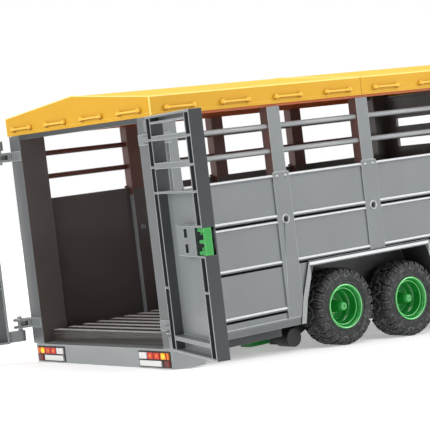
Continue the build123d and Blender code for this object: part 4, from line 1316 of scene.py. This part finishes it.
@dataclass
class DoorLatch:
    """The green slide in the opened right door's free edge, shaped like an E."""

    shop: Workshop
    hinge: tuple[float, float] = (-5.4, 84.0)
    opened: float = 161.5
    face: float = -1.0
    edge: float = 0.4
    low: float = 70.4
    high: float = 85.3
    arm: float = 11.0
    middle_arm: float = 9.5
    lip: float = 4.2

    def swung(self, shape: Shape) -> Shape:
        """Turn a shape, drawn on the closed left door, to the opened right door.

        Args:
            shape: The shape, in trailer millimetres.

        Returns:
            The same shape.
        """
        turn = Matrix.Rotation(-math.radians(self.opened), 2)
        for number, (x, y, z) in enumerate(shape.points):
            across, along = turn @ Vector((x - self.hinge[0], y - self.hinge[1]))
            shape.points[number] = (across + self.hinge[0], -(along + self.hinge[1]), z)
        return shape

    def build(self) -> None:
        """A spine along the free edge, and three arms with a lip at the ends of the outer two."""
        face, edge, low, high = self.face, self.edge, self.low, self.high
        shape = Shape().block((face - 5.2, edge, low), (face - 0.7, edge + 1.5, high))
        back, middle = face - 4.6, (low + high) / 2
        for bottom, top, reach in ((low, low + 2.4, self.arm), (middle - 1.0, middle + 1.0, self.middle_arm),
                                   (high - 2.4, high, self.arm)):
            shape.block((back, edge + 1.2, bottom), (face - 1.0, edge + reach, top))
        tip = edge + self.arm
        for bottom in (low, high - self.lip):
            shape.block((back, tip - 1.8, bottom), (face - 2.6, tip, bottom + self.lip))
        mesh = self.swung(shape).mesh("latch", self.shop.stance)
        self.shop.piece("door_latch_slide_piece", "door_latch", [(mesh, "green_plastic")], "green_plastic",
                        replaces=("door_latch",), bevel=0.35)


# ---- carried-over pieces ---------------------------------------------------------------------------


@dataclass
class CarriedPieces:
    """The frame's own nodes: rounded edges and a finish each."""

    palette: Palette
    edge_radius: float = 0.28
    fine_radius: float = 0.12
    weld_distance: float = 0.002
    fine: tuple[str, ...] = ("indicator_lenses", "tail_lenses", "reversing_lenses", "number_plates")
    paired: dict[str, str] = field(default_factory=lambda: {
        "side_posts": "post_plastic", "window_rails": "rail_plastic", "hinge_brackets": "bracket_plastic",
        "top_rail": "top_rail_plastic", "side_panel": "panel_plastic", "wheel_arch": "arch_plastic",
    })
    single: dict[str, str] = field(default_factory=lambda: {
        "rear_portal": "portal_plastic", "rear_bumper": "bumper_plastic",
        "right_door_leaf": "right_leaf_plastic", "left_door_leaf": "left_leaf_plastic",
    })

    def finish(self, name: str, slot: str) -> str:
        """Name of a node's finish: its own, that of its pair, or its slot's."""
        pair = name.removeprefix("left_").removeprefix("right_")
        return self.single.get(name) or self.paired.get(pair, slot)

    def dress(self) -> None:
        """Give each carried node its finish and soft edges."""
        slots = {part["node"]: part["material_slot"] for part in frame["record"]["subparts"]}
        for name, piece in frame["nodes"].items():
            self.palette.dress(piece, self.finish(name, slots[name]))
            weld = piece.modifiers.new("weld", "WELD")
            weld.merge_threshold = self.weld_distance * MM
            edges = soften(piece, self.fine_radius if name in self.fine else self.edge_radius)
            edges.harden_normals = True
        LOG.info("dressed %d carried pieces", len(frame["nodes"]))


# ---- studio ----------------------------------------------------------------------------------------


@dataclass
class Studio:
    """Pale floor, soft lights and the camera."""

    stance: Stance
    eye: Point = (-556.0, -830.2, 128.9)
    line_of_sight: Point = (0.6206, 0.7829, -0.0442)
    camera_up: Point = (0.1189, -0.0383, 0.9922)
    focal_length: float = 134.54
    floor_half: float = 6.0
    floor_grey: float = 0.90
    surround_light: float = 0.42
    target: Point = (150, 0, 70)
    lamps: tuple[tuple[str, Point, float, float], ...] = (
        ("side_sheen", (1.15, -1.25, 0.75), 1.0, 15.0),
        ("key", (-0.1, -0.9, 1.6), 1.0, 9.0),
        ("rear", (-1.5, -0.15, 0.55), 0.8, 10.0),
        ("left_fill", (-1.1, 1.2, 0.9), 0.9, 5.0),
        ("top", (0.2, 0.4, 1.7), 1.0, 14.0),
    )

    def build(self) -> None:
        """Make the whole studio."""
        self.add_floor()
        self.add_camera()
        self.add_lights()
        self.add_world()
        LOG.info("studio ready")

    def add_floor(self) -> None:
        """A wide pale floor at the ground."""
        half = self.floor_half
        mesh = bpy.data.meshes.new("studio_floor")
        mesh.from_pydata([(-half, -half, 0), (half, -half, 0), (half, half, 0), (-half, half, 0)], [],
                         [(0, 1, 2, 3)])
        floor = bpy.data.objects.new("studio_floor", mesh)
        bpy.context.collection.objects.link(floor)
        material, make, shader = start_material("studio_floor")
        make.fill(shader.inputs["Base Color"], (self.floor_grey,) * 3)
        make.fill(shader.inputs["Roughness"], 0.6)
        away = make.add("VectorMath", {0: make.add("TexCoord").outputs["Object"]}, operation="LENGTH")
        glow = make.remap(away.outputs["Value"], 0.7, 2.2, 0.36, 1.0)
        make.fill(shader.inputs["Emission Color"], make.mix(glow, (0.0, 0.0, 0.0), (1.0, 1.0, 1.0)))
        make.fill(shader.inputs["Emission Strength"], 1.0)
        mesh.materials.append(material)

    def add_camera(self) -> None:
        """The camera, behind the trailer's right rear corner."""
        camera = bpy.data.objects.new("camera", bpy.data.cameras.new("camera"))
        bpy.context.collection.objects.link(camera)
        forward = self.stance.direction(self.line_of_sight)
        up = self.stance.direction(self.camera_up)
        right = forward.cross(up).normalized()
        up = right.cross(forward)
        turn = Matrix((right, up, -forward)).transposed()
        camera.matrix_world = Matrix.Translation(self.stance.place(self.eye)) @ turn.to_4x4()
        camera.data.lens = self.focal_length
        camera.data.clip_start = 0.01
        bpy.context.scene.camera = camera

    def add_lights(self) -> None:
        """Soft boxes: one ahead of the right side for its sheen, a key above, and weak fills behind."""
        target = self.stance.place(self.target)
        for name, place, size, power in self.lamps:
            lamp = bpy.data.lights.new(name, "AREA")
            lamp.size = size
            lamp.energy = power
            light = bpy.data.objects.new(name, lamp)
            bpy.context.collection.objects.link(light)
            light.location = Vector(place) + target
            light.rotation_euler = (-Vector(place)).to_track_quat("-Z", "Y").to_euler()

    def add_world(self) -> None:
        """White surroundings, dimmer as a light than as a backdrop."""
        world = bpy.data.worlds.new("surroundings")
        bpy.context.scene.world = world
        bpy.context.scene.view_settings.view_transform = "Standard"
        world.use_nodes = True
        make = NodeBuilder(world.node_tree)
        background = world.node_tree.nodes["Background"]
        make.fill(background.inputs["Color"], (1.0, 1.0, 1.0))
        seen = make.add("LightPath").outputs["Is Camera Ray"]
        make.fill(background.inputs["Strength"], make.remap(seen, 0.0, 1.0, self.surround_light, 1.0))


# ---- the trailer -----------------------------------------------------------------------------------


def main() -> None:
    """Build the trailer's looks and the studio."""
    logging.basicConfig(level=logging.INFO, format="%(name)s: %(message)s")
    stance = Stance()
    palette = Palette(stance)
    CarriedPieces(palette).dress()
    shop = Workshop(stance, palette, Repeater())
    for side in ("left", "right"):
        for axle in ("rear", "front"):
            Wheel(shop, side, axle).build()
    RoofHalf(shop, "rear_roof", 0.0, 170.3, 0.0, -1).build()
    RoofHalf(shop, "front_roof", 170.7, 341.0, 341.0, 1).build()
    BodyDetails(shop).build()
    DoorLatch(shop).build()
    Studio(stance).build()


if __name__ == "__main__":
    main()
